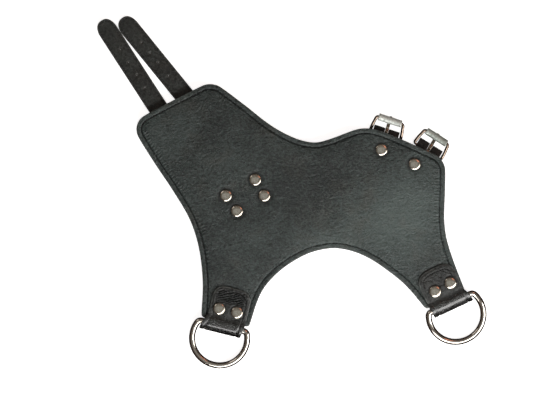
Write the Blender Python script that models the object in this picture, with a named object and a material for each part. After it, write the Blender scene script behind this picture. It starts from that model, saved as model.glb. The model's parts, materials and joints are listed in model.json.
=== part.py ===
"""Padded leather body harness pad with two buckling straps and two D-rings.

The pad lies flat with its lining up. Two straps are riveted under its upper left wing,
two roller buckles hang from chapes under its upper right edge, and a folded leather tab
holds a D-ring at the end of each leg. Lengths are millimetres until MM turns them into
metres. +X points right, +Y up the pad, +Z out of the lining; z = 0 is the resting plane.
"""

import math

import bmesh
import bpy
from mathutils import Matrix, Vector

MM = 0.001
GAP = 0.3
THREAD_GAP = 0.1

# Where the design's drawing origin lands, so that the model's box is centred on the world's.
DRAWING_ORIGIN = (-0.73, -1.79)

# Heights of the stack, from the resting plane up.
CAP_HEIGHT = 2.1
STRAP_THICKNESS = 2.5
STRAP_BOTTOM = CAP_HEIGHT + GAP
STRAP_TOP = STRAP_BOTTOM + STRAP_THICKNESS
OUTER_THICKNESS = 2.0
FOAM_THICKNESS = 2.4
LINING_THICKNESS = 1.5
OUTER_BOTTOM = STRAP_TOP + GAP
OUTER_TOP = OUTER_BOTTOM + OUTER_THICKNESS
FOAM_BOTTOM = OUTER_TOP + GAP
FOAM_TOP = FOAM_BOTTOM + FOAM_THICKNESS
LINING_BOTTOM = FOAM_TOP + GAP
LINING_TOP = LINING_BOTTOM + LINING_THICKNESS
PAD_MIDDLE = (OUTER_BOTTOM + LINING_TOP) / 2

# The pad's plan: six stretches, each from the last one's corner to its own, and the
# radius that rounds that corner.
WING_LOW = (-160.8, 71.1)
WING_HIGH = (-78.9, 113.4)
BUCKLE_CORNER = (154.6, 35.2)
RIGHT_LEG_OUTER = (174.0, -96.9)
RIGHT_LEG_INNER = (135.1, -115.1)
LEFT_LEG_INNER = (-42.0, -133.0)
LEFT_LEG_OUTER = (-89.7, -122.9)
LEG_RADIUS = 3.5
PAD_STRETCHES = [
    ([WING_LOW, WING_HIGH], 20.0),
    (
        [WING_HIGH, (-61, 100), (-41, 85), (-21, 69.3), (-5, 60), (9, 54.2), (24, 51.6), (39, 55),
         (56, 62), (72, 65.6), (86, 64), (105, 57.2), (125, 47.8), BUCKLE_CORNER],
        20.0,
    ),
    (
        [BUCKLE_CORNER, (154.2, 8), (153, -16), (154.4, -38), (159, -57), (166.4, -77), RIGHT_LEG_OUTER],
        LEG_RADIUS,
    ),
    ([RIGHT_LEG_OUTER, RIGHT_LEG_INNER], LEG_RADIUS),
    (
        [RIGHT_LEG_INNER, (122, -98.5), (104, -82.3), (81, -66), (61, -57.2), (41, -54.3), (20, -58.5),
         (2, -67.5), (-13, -78.5), (-25.5, -92), (-33.5, -107), LEFT_LEG_INNER],
        LEG_RADIUS,
    ),
    ([LEFT_LEG_INNER, LEFT_LEG_OUTER], LEG_RADIUS),
    (
        [LEFT_LEG_OUTER, (-88.2, -98), (-89.2, -74), (-93.5, -48), (-102, -24), (-115, -1.5),
         (-131.5, 23.5), (-145, 44), WING_LOW],
        16.0,
    ),
]
OUTLINE_TURN = math.radians(8)
OUTLINE_REACH = 30.0
INNER_CORNER = 1.5
INSET_CLEAR = 0.96

# The lining's sewn border lies lower than the padded field inside it.
BORDER_DROP = 0.6
BORDER_WIDTH = 5.8
FIELD_INSET = 7.2
SEAM_INSET = 5.0
THREAD_WIDTH = 0.8
THREAD_HEIGHT = 0.4

# Double-cap rivets.
CAP_RADIUS = 6.2
CAP_RIM = 0.5
SOCKET_RADIUS = 2.6
SOCKET_BORE = 1.8
SOCKET_DEPTH = 2.6
POST_RADIUS = 1.5
HOLE_RADIUS = 2.9
RIVET_SEGMENTS = 12

# Straps: width, distances along the strap from where it leaves the pad, and the places
# that each one runs through.
STRAP_WIDTH = 19.6
STRAP_HINGES = (5.0, 32.5, 61.5)
HINGE_GAP = 0.5
STRAP_TAIL = 12.0
# The root's end narrows: (distance from the end, share of the half width).
TAIL_TAPER = ((0.0, 0.45), (1.5, 0.72), (5.0, 1.0))
# The tip's curve, and the share of the half width that is left flat at its end.
POINT_LENGTH = 13.0
POINT_FULLNESS = 0.8
POINT_FLAT = 0.12
POINT_STEP = 15
# Where the rows of a half-round link end lie, in degrees round it from the flat side.
ROLL_ANGLES = (0, 45, 80)
PUNCH_RADIUS = 1.3
STRAPS = {
    "left": {
        "inner_rivet": (-54.0, -17.0),
        "outer_rivet": (-65.0, -1.6),
        "edge": (-133.0, 86.0),
        "tip": (-190.0, 174.0),
        "punches": (24.4, 39.5, 54.6, 70.0),
    },
    "right": {
        "inner_rivet": (-26.6, -1.6),
        "outer_rivet": (-35.7, 14.3),
        "edge": (-107.0, 99.0),
        "tip": (-169.5, 176.0),
        "punches": (24.6, 41.6, 54.2, 67.6),
    },
}

# Roller buckles: where the heel bar lies, which way the buckle points, and its rivet.
BUCKLES = {
    "left": {"heel": (94.1, 58.0), "angle": math.radians(72.0), "rivet": (90.4, 44.2)},
    "right": {"heel": (136.8, 42.9), "angle": math.radians(57.5), "rivet": (123.5, 29.8)},
}
FRAME_WIRE = 1.2
FRAME_FRONT = 1.6
FRAME_SIDE = 1.65
FRONT_SWELL = (6.0, 14.0)
HEEL_HALF = 16.0
BELLY_HALF = 15.4
BELLY_REACH = 8.0
FRONT_HALF = 13.8
FRONT_REACH = 17.0
FRAME_CORNER = 2.2
ROLLER_RADIUS = 3.7
ROLLER_WALL = 1.75
TONGUE_WIDTH = 3.4
TONGUE_THICKNESS = 1.8
TONGUE_EYE = 2.2
TONGUE_SHORT = 0.3
TONGUE_WAIST = 0.55
TONGUE_SAG = 0.8
TONGUE_ARCH = 0.4
TONGUE_TIP = 1.0
TONGUE_HEEL = 0.6
TONGUE_NECK = math.radians(8)
CHAPE_WIDTH = 24.5
CHAPE_LEATHER = 1.0
CHAPE_BAR_GAP = 0.25
CHAPE_REACH = 6.3
CHAPE_LENGTH = 26.0
CHAPE_SLOT_WIDTH = 6.6
CHAPE_SLOT_BACK = 9.0
CHAPE_RAMP = 10.0
CHAPE_JOINED = 12.0
HEEL_HEIGHT = FRAME_WIRE + CHAPE_BAR_GAP + CHAPE_LEATHER
TONGUE_BEND = FRONT_REACH - ROLLER_RADIUS - 1.0
TONGUE_DROP = ROLLER_RADIUS + GAP + TONGUE_THICKNESS
# The buckle leans up until its tongue's bend rests on the ground.
BUCKLE_TILT = math.atan2(TONGUE_DROP, TONGUE_BEND) - math.asin(
    HEEL_HEIGHT / math.hypot(TONGUE_DROP, TONGUE_BEND))

# D-rings and the leather tabs folded round their bars. "side" is the side of the bar,
# seen from the pad, that the lower edge of the pad lies on.
RINGS = {
    "left": {"bar": (-68.3, -131.8), "angle": math.radians(256.0), "side": 1,
             "rivets": ((-71.7, -114.5), (-54.0, -118.4))},
    "right": {"bar": (159.7, -109.0), "angle": math.radians(295.0), "side": -1,
              "rivets": ((143.8, -97.3), (159.1, -88.8))},
}
RING_WIRE = 3.1
RING_ARC = 27.6
RING_ARC_CENTRE = 13.0
RING_CORNER = 4.2
RING_REACH = RING_ARC_CENTRE + RING_ARC
RING_TILT = math.asin((PAD_MIDDLE - RING_WIRE) / RING_REACH)
TAB_THICKNESS = STRAP_THICKNESS
TAB_INNER = PAD_MIDDLE - OUTER_BOTTOM + GAP
TAB_REACH = 7.2
TAB_FOLD_HALF = 21.0
TAB_NEAR_HALF = 17.2
TAB_FAR_HALF = 21.8
TAB_FLARE = 9.0
TAB_SQUARE = 24.0
TAB_LENGTH = 39.4
TAB_TOP = PAD_MIDDLE + TAB_INNER + TAB_THICKNESS
TAB_SEAM_INSET = 4.6
TAB_SEAM_START = 24.2


# ---------------------------------------------------------------- plane curves


def spline(points, step=2.0):
    """Points along a smooth curve (Catmull-Rom) through the given ones, ends included."""
    knots = [Vector(p) for p in points]
    knots = [knots[0] * 2 - knots[1]] + knots + [knots[-1] * 2 - knots[-2]]
    path = []
    for before, start, end, after in zip(knots, knots[1:], knots[2:], knots[3:]):
        count = max(1, round((end - start).length / step))
        for i in range(count):
            t = i / count
            path.append(
                0.5 * (2 * start + (end - before) * t
                       + (2 * before - 5 * start + 4 * end - after) * t ** 2
                       + (3 * start - before - 3 * end + after) * t ** 3)
            )
    path.append(knots[-2])
    return path


def rounded(arriving, leaving, radius, steps=6):
    """Two paths that meet in a corner, with an arc of this radius between them."""
    corner = arriving[-1]
    back = (arriving[-2] - corner).normalized()
    onward = (leaving[1] - corner).normalized()
    half = back.angle(onward) / 2
    trim = radius / math.tan(half)
    centre = corner + (back + onward).normalized() * (radius / math.sin(half))
    start = corner + back * trim - centre
    end = corner + onward * trim - centre
    sweep = end.angle_signed(start)
    arc = [centre + Matrix.Rotation(sweep * i / steps, 2) @ start for i in range(steps + 1)]
    arriving = [p for p in arriving if (p - corner).length > trim * 1.02]
    leaving = [p for p in leaving if (p - corner).length > trim * 1.02]
    return arriving + arc, leaving


def closed_outline(stretches, steps=6):
    """One closed loop of points from stretches that meet in rounded corners."""
    paths = [spline(points) for points, radius in stretches]
    for i, (points, radius) in enumerate(stretches):
        following = (i + 1) % len(stretches)
        paths[i], paths[following] = rounded(paths[i], paths[following], radius, steps)
    return [point for path in paths for point in path]


def thinned(loop, turn=OUTLINE_TURN, reach=OUTLINE_REACH):
    """The loop's points that its shape needs: one at each small turn or long reach."""
    kept = [loop[0]]
    turned = travelled = 0.0
    for before, here, after in zip(loop, loop[1:], loop[2:] + loop[:1]):
        turned += (here - before).angle_signed(after - here)
        travelled += (here - before).length
        if abs(turned) > turn or travelled > reach:
            kept.append(here)
            turned = travelled = 0.0
    return kept


def room(point, loop):
    """The distance from a point to the closed loop."""
    gaps = []
    for start, end in zip(loop, loop[1:] + loop[:1]):
        share = (point - start).dot(end - start) / (end - start).length_squared
        gaps.append((start + (end - start) * min(1.0, max(0.0, share)) - point).length)
    return min(gaps)


def redrawn_corner(arriving, leaving, count):
    """Points on a small curve where two lines meet. Each line is a place and a direction."""
    (a, toward), (b, back) = arriving, leaving
    gap = b - a
    run = (gap.x * back.y - gap.y * back.x) / (toward.x * back.y - toward.y * back.x)
    corner = a + toward * run
    start = corner + (a - corner).normalized() * INNER_CORNER
    end = corner + (b - corner).normalized() * INNER_CORNER
    shares = [(i + 0.5) / count for i in range(count)]
    return [start * (1 - t) ** 2 + corner * (2 * t * (1 - t)) + end * t ** 2 for t in shares]


def inset(loop, distance):
    """The closed loop (clockwise from above) moved inwards by this distance. Where a corner
    is tighter than the distance, it is redrawn as a small curve."""
    moved = []
    for before, here, after in zip(loop[-1:] + loop[:-1], loop, loop[1:] + loop[:1]):
        arriving = (here - before).normalized()
        leaving = (after - here).normalized()
        along = (arriving + leaving).normalized()
        inward = Vector((along.y, -along.x))
        moved.append(here + inward * (distance / max(0.5, along.dot(arriving))))
    clear = [room(point, loop) > distance * INSET_CLEAR for point in moved]
    count = len(loop)
    for i in range(count):
        if clear[i] and not clear[(i + 1) % count]:
            j = i + 1
            while not clear[j % count]:
                j += 1
            toward = loop[(i + 1) % count] - loop[i]
            back = loop[(j - 1) % count] - loop[j % count]
            points = redrawn_corner((moved[i], toward), (moved[j % count], back), j - i - 1)
            for k, point in enumerate(points):
                moved[(i + 1 + k) % count] = point
    return moved


# ---------------------------------------------------------------- solids


def at(point):
    """A drawing point in millimetres as a place in metres."""
    x, y, z = point
    return Vector((x, y, z)) * MM


def finish(name, mesh, parent, material, sharp=30.0):
    """A mesh as a named object under its parent, smooth except at sharp edges."""
    mesh.shade_smooth()
    mesh.set_sharp_from_angle(angle=math.radians(sharp))
    mesh.materials.append(material)
    body = bpy.data.objects.new(name, mesh)
    bpy.context.scene.collection.objects.link(body)
    body.parent = parent
    return body


def solid(name, points, faces, parent, material):
    """A closed mesh from points in millimetres, its faces turned outwards."""
    mesh = bpy.data.meshes.new(name)
    mesh.from_pydata([at(p) for p in points], [], faces)
    work = bmesh.new()
    work.from_mesh(mesh)
    bmesh.ops.recalc_face_normals(work, faces=work.faces)
    work.to_mesh(mesh)
    work.free()
    return finish(name, mesh, parent, material)


def bridged(rings, around=True):
    """Faces between rings of equal count, one ring to the next, and back to the first."""
    count = len(rings[0])
    pairs = list(zip(range(len(rings)), range(1, len(rings))))
    if around:
        pairs.append((len(rings) - 1, 0))
    return [
        (a * count + i, a * count + (i + 1) % count, b * count + (i + 1) % count, b * count + i)
        for a, b in pairs
        for i in range(count)
    ]


def ring_solid(name, rings, parent, material):
    """A solid like a torus: rings of points joined in turn, the last to the first."""
    points = [p for ring in rings for p in ring]
    return solid(name, points, bridged(rings), parent, material)


def capped_solid(name, rings, parent, material):
    """A solid whose rings are joined in turn and whose first and last ring are filled."""
    count = len(rings[0])
    points = [p for ring in rings for p in ring]
    last = (len(rings) - 1) * count
    ends = [tuple(range(count)), tuple(range(last, last + count))]
    return solid(name, points, bridged(rings, around=False) + ends, parent, material)


def level(loop, height):
    """A plan loop lifted to a height."""
    return [(p[0], p[1], height) for p in loop]


def turned(name, profile, segments, parent, material):
    """A solid turned about its local Z axis from a profile of (radius, height) that
    starts and ends on the axis."""
    mesh = bpy.data.meshes.new(name)
    work = bmesh.new()
    line = [work.verts.new(at((radius, 0, height))) for radius, height in profile]
    edges = [work.edges.new(pair) for pair in zip(line, line[1:])]
    bmesh.ops.spin(work, geom=line + edges, cent=(0, 0, 0), axis=(0, 0, 1),
                   angle=math.tau, steps=segments)
    bmesh.ops.remove_doubles(work, verts=work.verts, dist=1e-6)
    bmesh.ops.recalc_face_normals(work, faces=work.faces)
    work.to_mesh(mesh)
    work.free()
    return finish(name, mesh, parent, material)


def wire(name, path, section, sides, parent, material):
    """A wire bent along a closed path in its local XY plane. The section gives its half
    width and half height at a place where it runs in a direction."""
    rings = []
    for before, here, after in zip(path[-1:] + path[:-1], path, path[1:] + path[:1]):
        along = ((here - before).normalized() + (after - here).normalized()).normalized()
        across = Vector((along.y, -along.x))
        half_width, half_height = section(here, along)
        ring = []
        for i in range(sides):
            angle = math.tau * (i + 0.5) / sides
            place = here + across * (half_width * math.cos(angle))
            ring.append((place.x, place.y, half_height * math.sin(angle)))
        rings.append(ring)
    return ring_solid(name, rings, parent, material)


def cut(body, cutter):
    """Take the cutter's shape out of the body."""
    boolean = body.modifiers.new(cutter.name, "BOOLEAN")
    boolean.operation = "DIFFERENCE"
    boolean.solver = "EXACT"
    boolean.object = cutter


def as_cutter(body):
    """Mark a body as a cutter, which isn't part of the model."""
    body.hide_render = True
    body.display_type = "WIRE"
    return body


def hole_cutter(name, places, radius, bottom, top, parent, segments=RIVET_SEGMENTS):
    """Upright cylinders at the given places, as one cutter."""
    points = []
    faces = []
    for x, y in places:
        start = len(points)
        for height in (bottom, top):
            for i in range(segments):
                angle = math.tau * i / segments
                points.append((x + radius * math.cos(angle), y + radius * math.sin(angle), height))
        lower = list(range(start, start + segments))
        upper = list(range(start + segments, start + 2 * segments))
        faces += [tuple(reversed(lower)), tuple(upper)]
        for i in range(segments):
            j = (i + 1) % segments
            faces.append((lower[i], lower[j], upper[j], upper[i]))
    return as_cutter(solid(name, points, faces, parent, MATERIALS["steel"]))


def empty(name, parent, place, turn=(0.0, 0.0, 0.0)):
    """An empty that carries pieces: a reference point or a joint's axis."""
    frame = bpy.data.objects.new(name, None)
    bpy.context.scene.collection.objects.link(frame)
    frame.parent = parent
    frame.location = at(place)
    frame.rotation_euler = turn
    return frame


# ---------------------------------------------------------------- materials


def principled(name, colour, roughness, metallic=0.0):
    """A plain Principled material."""
    material = bpy.data.materials.new(name)
    material.use_nodes = True
    shader = material.node_tree.nodes["Principled BSDF"]
    shader.inputs["Base Color"].default_value = (*colour, 1.0)
    shader.inputs["Roughness"].default_value = roughness
    shader.inputs["Metallic"].default_value = metallic
    return material


def make_materials():
    """The materials by name."""
    return {
        "lining": principled("lining_leather", (0.035, 0.040, 0.038), 0.55),
        "outer": principled("outer_leather", (0.020, 0.022, 0.022), 0.45),
        "strap": principled("strap_leather", (0.016, 0.017, 0.017), 0.40),
        "foam": principled("foam", (0.050, 0.050, 0.052), 0.95),
        "thread": principled("thread", (0.010, 0.011, 0.012), 0.70),
        "nickel": principled("nickel", (0.62, 0.58, 0.53), 0.18, 1.0),
        "steel": principled("steel", (0.50, 0.49, 0.47), 0.35, 1.0),
    }


# ---------------------------------------------------------------- pad


def pad_panels(frame, rivet_places):
    """The outer panel, the foam, the lining and the thread that sews them together."""
    outline = thinned(closed_outline(PAD_STRETCHES))
    holes = hole_cutter("rivet_holes", rivet_places, HOLE_RADIUS, 0.0, TAB_TOP, frame)
    flat_panels = [
        ("outer_panel", OUTER_BOTTOM, OUTER_TOP, "outer"),
        ("foam_core", FOAM_BOTTOM, FOAM_TOP, "foam"),
    ]
    for name, bottom, top, look in flat_panels:
        rings = [level(outline, bottom), level(outline, top)]
        cut(capped_solid(name, rings, frame, MATERIALS[look]), holes)
    border_top = LINING_TOP - BORDER_DROP
    rings = [
        level(outline, LINING_BOTTOM),
        level(outline, border_top),
        level(inset(outline, BORDER_WIDTH), border_top),
        level(inset(outline, FIELD_INSET), LINING_TOP),
    ]
    cut(capped_solid("lining_panel", rings, frame, MATERIALS["lining"]), holes)
    low = border_top + THREAD_GAP
    high = low + THREAD_HEIGHT
    inner = inset(outline, SEAM_INSET + THREAD_WIDTH / 2)
    outer = inset(outline, SEAM_INSET - THREAD_WIDTH / 2)
    rings = [level(outer, low), level(outer, high), level(inner, high), level(inner, low)]
    ring_solid("perimeter_thread", rings, frame, MATERIALS["thread"])


def dome(radius, rim, height, steps=3):
    """A cap's profile from its rim edge up to the axis."""
    angles = [math.pi / 2 * i / steps for i in range(steps + 1)]
    return [(radius * math.cos(a), rim + (height - rim) * math.sin(a)) for a in angles]


def rivet(name, place, seat, frame):
    """A double-cap rivet: a post with a cap below the stack and a cap with a socket above
    it. seat is the height that the upper cap sits on."""
    x, y = place
    upper = [
        (0.0, CAP_RIM),
        (SOCKET_BORE, CAP_RIM),
        (SOCKET_BORE, -SOCKET_DEPTH),
        (SOCKET_RADIUS, -SOCKET_DEPTH),
        (SOCKET_RADIUS, 0.0),
        (CAP_RADIUS, 0.0),
    ]
    upper += [(r, h) for r, h in dome(CAP_RADIUS, CAP_RIM, CAP_HEIGHT)][:-1] + [(0.0, CAP_HEIGHT)]
    cap = turned(f"{name}_cap", upper, RIVET_SEGMENTS, frame, MATERIALS["nickel"])
    cap.location = at((x, y, seat))
    lower = [(0.0, 0.0)]
    lower += [(r, CAP_HEIGHT - h) for r, h in reversed(dome(CAP_RADIUS, CAP_RIM, CAP_HEIGHT)[:-1])]
    lower += [
        (CAP_RADIUS, CAP_HEIGHT),
        (POST_RADIUS, CAP_HEIGHT),
        (POST_RADIUS, seat + CAP_RIM - GAP),
        (0.0, seat + CAP_RIM - GAP),
    ]
    post = turned(f"{name}_post", lower, RIVET_SEGMENTS, frame, MATERIALS["nickel"])
    post.location = at((x, y, 0.0))


# ---------------------------------------------------------------- straps


def slat(name, rows, parent, material):
    """A flat strip with a box section. Each row is (centre, across, half width, bottom, top)."""
    rings = []
    for centre, across, half, bottom, top in rows:
        low = centre - across * half
        high = centre + across * half
        rings.append([
            (low.x, low.y, bottom), (high.x, high.y, bottom),
            (high.x, high.y, top), (low.x, low.y, top),
        ])
    return capped_solid(name, rings, parent, material)


def rolled_end(reach, facing, middle, half):
    """Rows (distance, bottom, top, half width) of a half-round end, in order of distance.
    Its outermost point is at reach, and facing is 1 if it faces outwards and -1 if it
    faces back."""
    radius = STRAP_THICKNESS / 2
    rows = []
    for degrees in ROLL_ANGLES:
        angle = math.radians(degrees)
        rise = radius * math.cos(angle)
        distance = reach - facing * radius * (1 - math.sin(angle))
        rows.append((distance, middle - rise, middle + rise, half))
    return sorted(rows)


def strap(side, plan, frame):
    """A strap: the root riveted under the pad and three hinged links out to the tip."""
    edge = Vector(plan["edge"])
    tip = Vector(plan["tip"])
    outward = (tip - edge).normalized()
    across = Vector((-outward.y, outward.x))
    length = (tip - edge).length
    middle = (STRAP_BOTTOM + STRAP_TOP) / 2
    half = STRAP_WIDTH / 2
    punches = hole_cutter(
        f"{side}_punches", [edge + outward * d for d in plan["punches"]], PUNCH_RADIUS,
        0.0, STRAP_TOP + CAP_HEIGHT, frame, segments=8,
    )

    inner = Vector(plan["inner_rivet"])
    outer = Vector(plan["outer_rivet"])
    inward = (inner - outer).normalized()
    tail = inner + inward * STRAP_TAIL
    centres = [tail - inward * distance for distance, share in TAIL_TAPER]
    halves = [half * share for distance, share in TAIL_TAPER]
    centres += [inner, outer, edge]
    halves += [half, half, half]
    rows = []
    for i, (centre, wide) in enumerate(zip(centres, halves)):
        before = centres[max(i - 1, 0)]
        after = centres[min(i + 1, len(centres) - 1)]
        along = (centre - before).normalized() + (after - centre).normalized()
        along = along.normalized() if i < len(centres) - 1 else (along + outward).normalized()
        rows.append((centre, Vector((-along.y, along.x)), wide, STRAP_BOTTOM, STRAP_TOP))
    for reach, bottom, top, wide in rolled_end(STRAP_HINGES[0] - HINGE_GAP / 2, 1, middle, half):
        rows.append((edge + outward * reach, across, wide, bottom, top))
    root = slat(f"{side}_strap_root", rows, frame, MATERIALS["strap"])
    holes = hole_cutter(
        f"{side}_strap_rivet_holes", [inner, outer], HOLE_RADIUS, 0.0, OUTER_BOTTOM, frame)
    cut(root, holes)

    ends = list(STRAP_HINGES[1:]) + [None]
    for number, (start, end) in enumerate(zip(STRAP_HINGES, ends), 1):
        hinge_place = edge + outward * start
        hinge = empty(f"{side}_strap_hinge_{number}", frame, (hinge_place.x, hinge_place.y, middle))
        profile = rolled_end(start + HINGE_GAP / 2, -1, middle, half)
        if end is None:
            for degrees in range(0, 90, POINT_STEP):
                angle = math.radians(degrees)
                reach = length - POINT_LENGTH * (1 - math.sin(angle))
                wide = half * math.cos(angle) ** POINT_FULLNESS
                profile.append((reach, STRAP_BOTTOM, STRAP_TOP, wide))
            profile.append((length, STRAP_BOTTOM, STRAP_TOP, half * POINT_FLAT))
        else:
            profile += rolled_end(end - HINGE_GAP / 2, 1, middle, half)
        rows = [
            (outward * (reach - start), across, wide, bottom - middle, top - middle)
            for reach, bottom, top, wide in profile
        ]
        link = slat(f"{side}_strap_link_{number}", rows, hinge, MATERIALS["strap"])
        cut(link, punches)


# ---------------------------------------------------------------- buckles


def chape(side, base, rivet_place):
    """A leather strip folded round the heel bar, slotted at the fold for the tongue. The
    base's X axis points out towards the roller and its Y axis runs along the heel bar."""
    top = STRAP_TOP - HEEL_HEIGHT
    leaf = CHAPE_LEATHER
    slot_top = top - leaf
    lower_top = slot_top - GAP
    fold_inner_z = FRAME_WIRE + CHAPE_BAR_GAP
    steps = 8
    outside = [(-CHAPE_LENGTH, top)]
    inside = [(-CHAPE_LENGTH + CHAPE_JOINED, slot_top)]
    for i in range(steps + 1):
        angle = math.pi * i / steps
        outside.append((CHAPE_REACH * math.sin(angle), HEEL_HEIGHT * math.cos(angle)))
        inside.append(((CHAPE_REACH - leaf) * math.sin(angle), fold_inner_z * math.cos(angle)))
    outside += [(-CHAPE_RAMP, lower_top - leaf), (-CHAPE_LENGTH, lower_top - leaf)]
    inside += [(-CHAPE_RAMP, lower_top), (-CHAPE_LENGTH + CHAPE_JOINED, lower_top)]
    profile = outside + inside[::-1]
    half = CHAPE_WIDTH / 2
    rings = [[(x, y, z) for x, z in profile] for y in (-half, half)]
    body = capped_solid(f"{side}_chape", rings, base, MATERIALS["strap"])
    slot_half = CHAPE_SLOT_WIDTH / 2
    slot_near = -FRAME_WIRE - TONGUE_EYE
    slot_low = -HEEL_HEIGHT * 3
    slot_high = HEEL_HEIGHT * 2
    slot = [
        (slot_near, slot_low), (CHAPE_REACH * 2, slot_low), (CHAPE_REACH * 2, slot_high),
        (slot_near, slot_high), (slot_near, -GAP), (-CHAPE_SLOT_BACK, -GAP), (-CHAPE_SLOT_BACK, slot_low),
    ]
    rings = [[(x, y, z) for x, z in slot] for y in (-slot_half, slot_half)]
    cut(body, as_cutter(capped_solid(f"{side}_chape_slot", rings, base, MATERIALS["steel"])))
    place = base.matrix_basis.inverted() @ at((*rivet_place, 0.0)) / MM
    holes = [(place.x, place.y)]
    cut(body, hole_cutter(f"{side}_chape_hole", holes, HOLE_RADIUS, -HEEL_HEIGHT, HEEL_HEIGHT * 2, base))


def frame_path():
    """The buckle frame's centreline: heel bar, bellied sides and the front bar."""
    heel_left = Vector((0.0, HEEL_HALF))
    heel_right = Vector((0.0, -HEEL_HALF))
    front_left = Vector((FRONT_REACH, FRONT_HALF))
    front_right = Vector((FRONT_REACH, -FRONT_HALF))
    return closed_outline([
        ([heel_right, heel_left], FRAME_CORNER),
        ([heel_left, (BELLY_REACH, BELLY_HALF), front_left], FRAME_CORNER),
        ([front_left, front_right], FRAME_CORNER),
        ([front_right, (BELLY_REACH, -BELLY_HALF), heel_right], FRAME_CORNER),
    ], steps=3)


def frame_section(here, along):
    """The frame's half width and half height: thickest at the front, with flattened sides."""
    start, end = FRONT_SWELL
    share = min(1.0, max(0.0, (here.x - start) / (end - start)))
    height = FRAME_WIRE + (FRAME_FRONT - FRAME_WIRE) * share
    return height + (FRAME_SIDE - height) * along.x ** 2, height


def buckle(side, plan, frame):
    """A roller buckle on its chape, resting on its tongue."""
    x, y = plan["heel"]
    base = empty(f"{side}_buckle_base", frame, (x, y, HEEL_HEIGHT), (0.0, 0.0, plan["angle"]))
    chape(side, base, plan["rivet"])
    swing = empty(f"{side}_buckle_swing", base, (0, 0, 0), (0.0, -BUCKLE_TILT, 0.0))
    path = thinned(frame_path(), turn=math.radians(25), reach=12.0)
    wire(f"{side}_buckle_frame", path, frame_section, 8, swing, MATERIALS["nickel"])

    half = FRONT_HALF - FRAME_SIDE - GAP
    bore = ROLLER_RADIUS - ROLLER_WALL
    axle = empty(f"{side}_roller_axle", swing, (FRONT_REACH, 0, 0), (math.pi / 2, 0, 0))
    rings = [
        [(r * math.cos(math.tau * i / 16), r * math.sin(math.tau * i / 16), h) for i in range(16)]
        for r, h in ((bore, -half), (ROLLER_RADIUS, -half), (ROLLER_RADIUS, half), (bore, half))
    ]
    ring_solid(f"{side}_buckle_roller", rings, axle, MATERIALS["steel"])
    tongue(side, swing)


def tongue(side, swing):
    """The buckle's tongue: an eye round the heel bar and a bar that passes under the roller."""
    steps = 12
    eye_bore = FRAME_WIRE + GAP
    drop = -TONGUE_DROP
    reach = FRONT_REACH + ROLLER_RADIUS - TONGUE_SHORT
    half = TONGUE_WIDTH / 2
    neck = math.asin(TONGUE_THICKNESS / 2 / TONGUE_EYE) + TONGUE_NECK
    outside = []
    for i in range(steps + 1):
        angle = neck + (math.tau - 2 * neck) * i / steps
        outside.append((TONGUE_EYE * math.cos(angle), TONGUE_EYE * math.sin(angle)))
    bend = TONGUE_BEND
    outside += [
        (bend * TONGUE_WAIST, -TONGUE_THICKNESS / 2 - TONGUE_SAG),
        (bend, drop),
        (reach - TONGUE_TIP, drop),
        (reach, drop + TONGUE_THICKNESS / 2),
        (reach - TONGUE_TIP, drop + TONGUE_THICKNESS),
        (bend + TONGUE_HEEL, drop + TONGUE_THICKNESS),
        (bend * TONGUE_WAIST, TONGUE_THICKNESS / 2 - TONGUE_ARCH),
    ]
    rings = [[(x, y, z) for x, z in outside] for y in (-half, half)]
    body = capped_solid(f"{side}_buckle_tongue", rings, swing, MATERIALS["nickel"])
    bore = [
        (eye_bore * math.cos(math.tau * i / steps), eye_bore * math.sin(math.tau * i / steps))
        for i in range(steps)
    ]
    rings = [[(x, y, z) for x, z in bore] for y in (-TONGUE_WIDTH, TONGUE_WIDTH)]
    cut(body, as_cutter(capped_solid(f"{side}_tongue_bore", rings, swing, MATERIALS["steel"])))


# ---------------------------------------------------------------- rings and tabs


def tab_half(distance, wide, sewn=0.0):
    """How far the tab's edge lies from its middle line, at a distance in from the bar.
    wide is the edge's reach beyond the flare, and sewn moves the line in from the edge."""
    if distance < TAB_FLARE:
        flare = max(0.0, distance / TAB_FLARE)
        return TAB_FOLD_HALF + (wide - TAB_FOLD_HALF) * flare
    over = max(0.0, (distance - TAB_SQUARE) / (TAB_LENGTH - sewn - TAB_SQUARE))
    return (wide - sewn) * (1 - over ** 3) ** (1 / 3)


def tab_rows():
    """The tab's middle line in section, from the flap's end over the fold to the lower
    leaf's end: (distance in, height, outward normal)."""
    radius = TAB_INNER + TAB_THICKNESS / 2
    reach = TAB_REACH - TAB_THICKNESS / 2
    leaf = [0.985, 0.93, 0.82, 0.62, 0.3, 0.0]
    distances = [TAB_SQUARE + (TAB_LENGTH - TAB_SQUARE) * f for f in leaf] + [TAB_FLARE]
    rows = [(d, radius, (0.0, 1.0)) for d in distances]
    steps = 10
    for i in range(steps + 1):
        angle = math.pi * i / steps
        normal = Vector((-radius * math.sin(angle), reach * math.cos(angle))).normalized()
        rows.append((-reach * math.sin(angle), radius * math.cos(angle), tuple(normal)))
    rows += [(d, -radius, (0.0, -1.0)) for d in reversed(distances)]
    return rows


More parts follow.
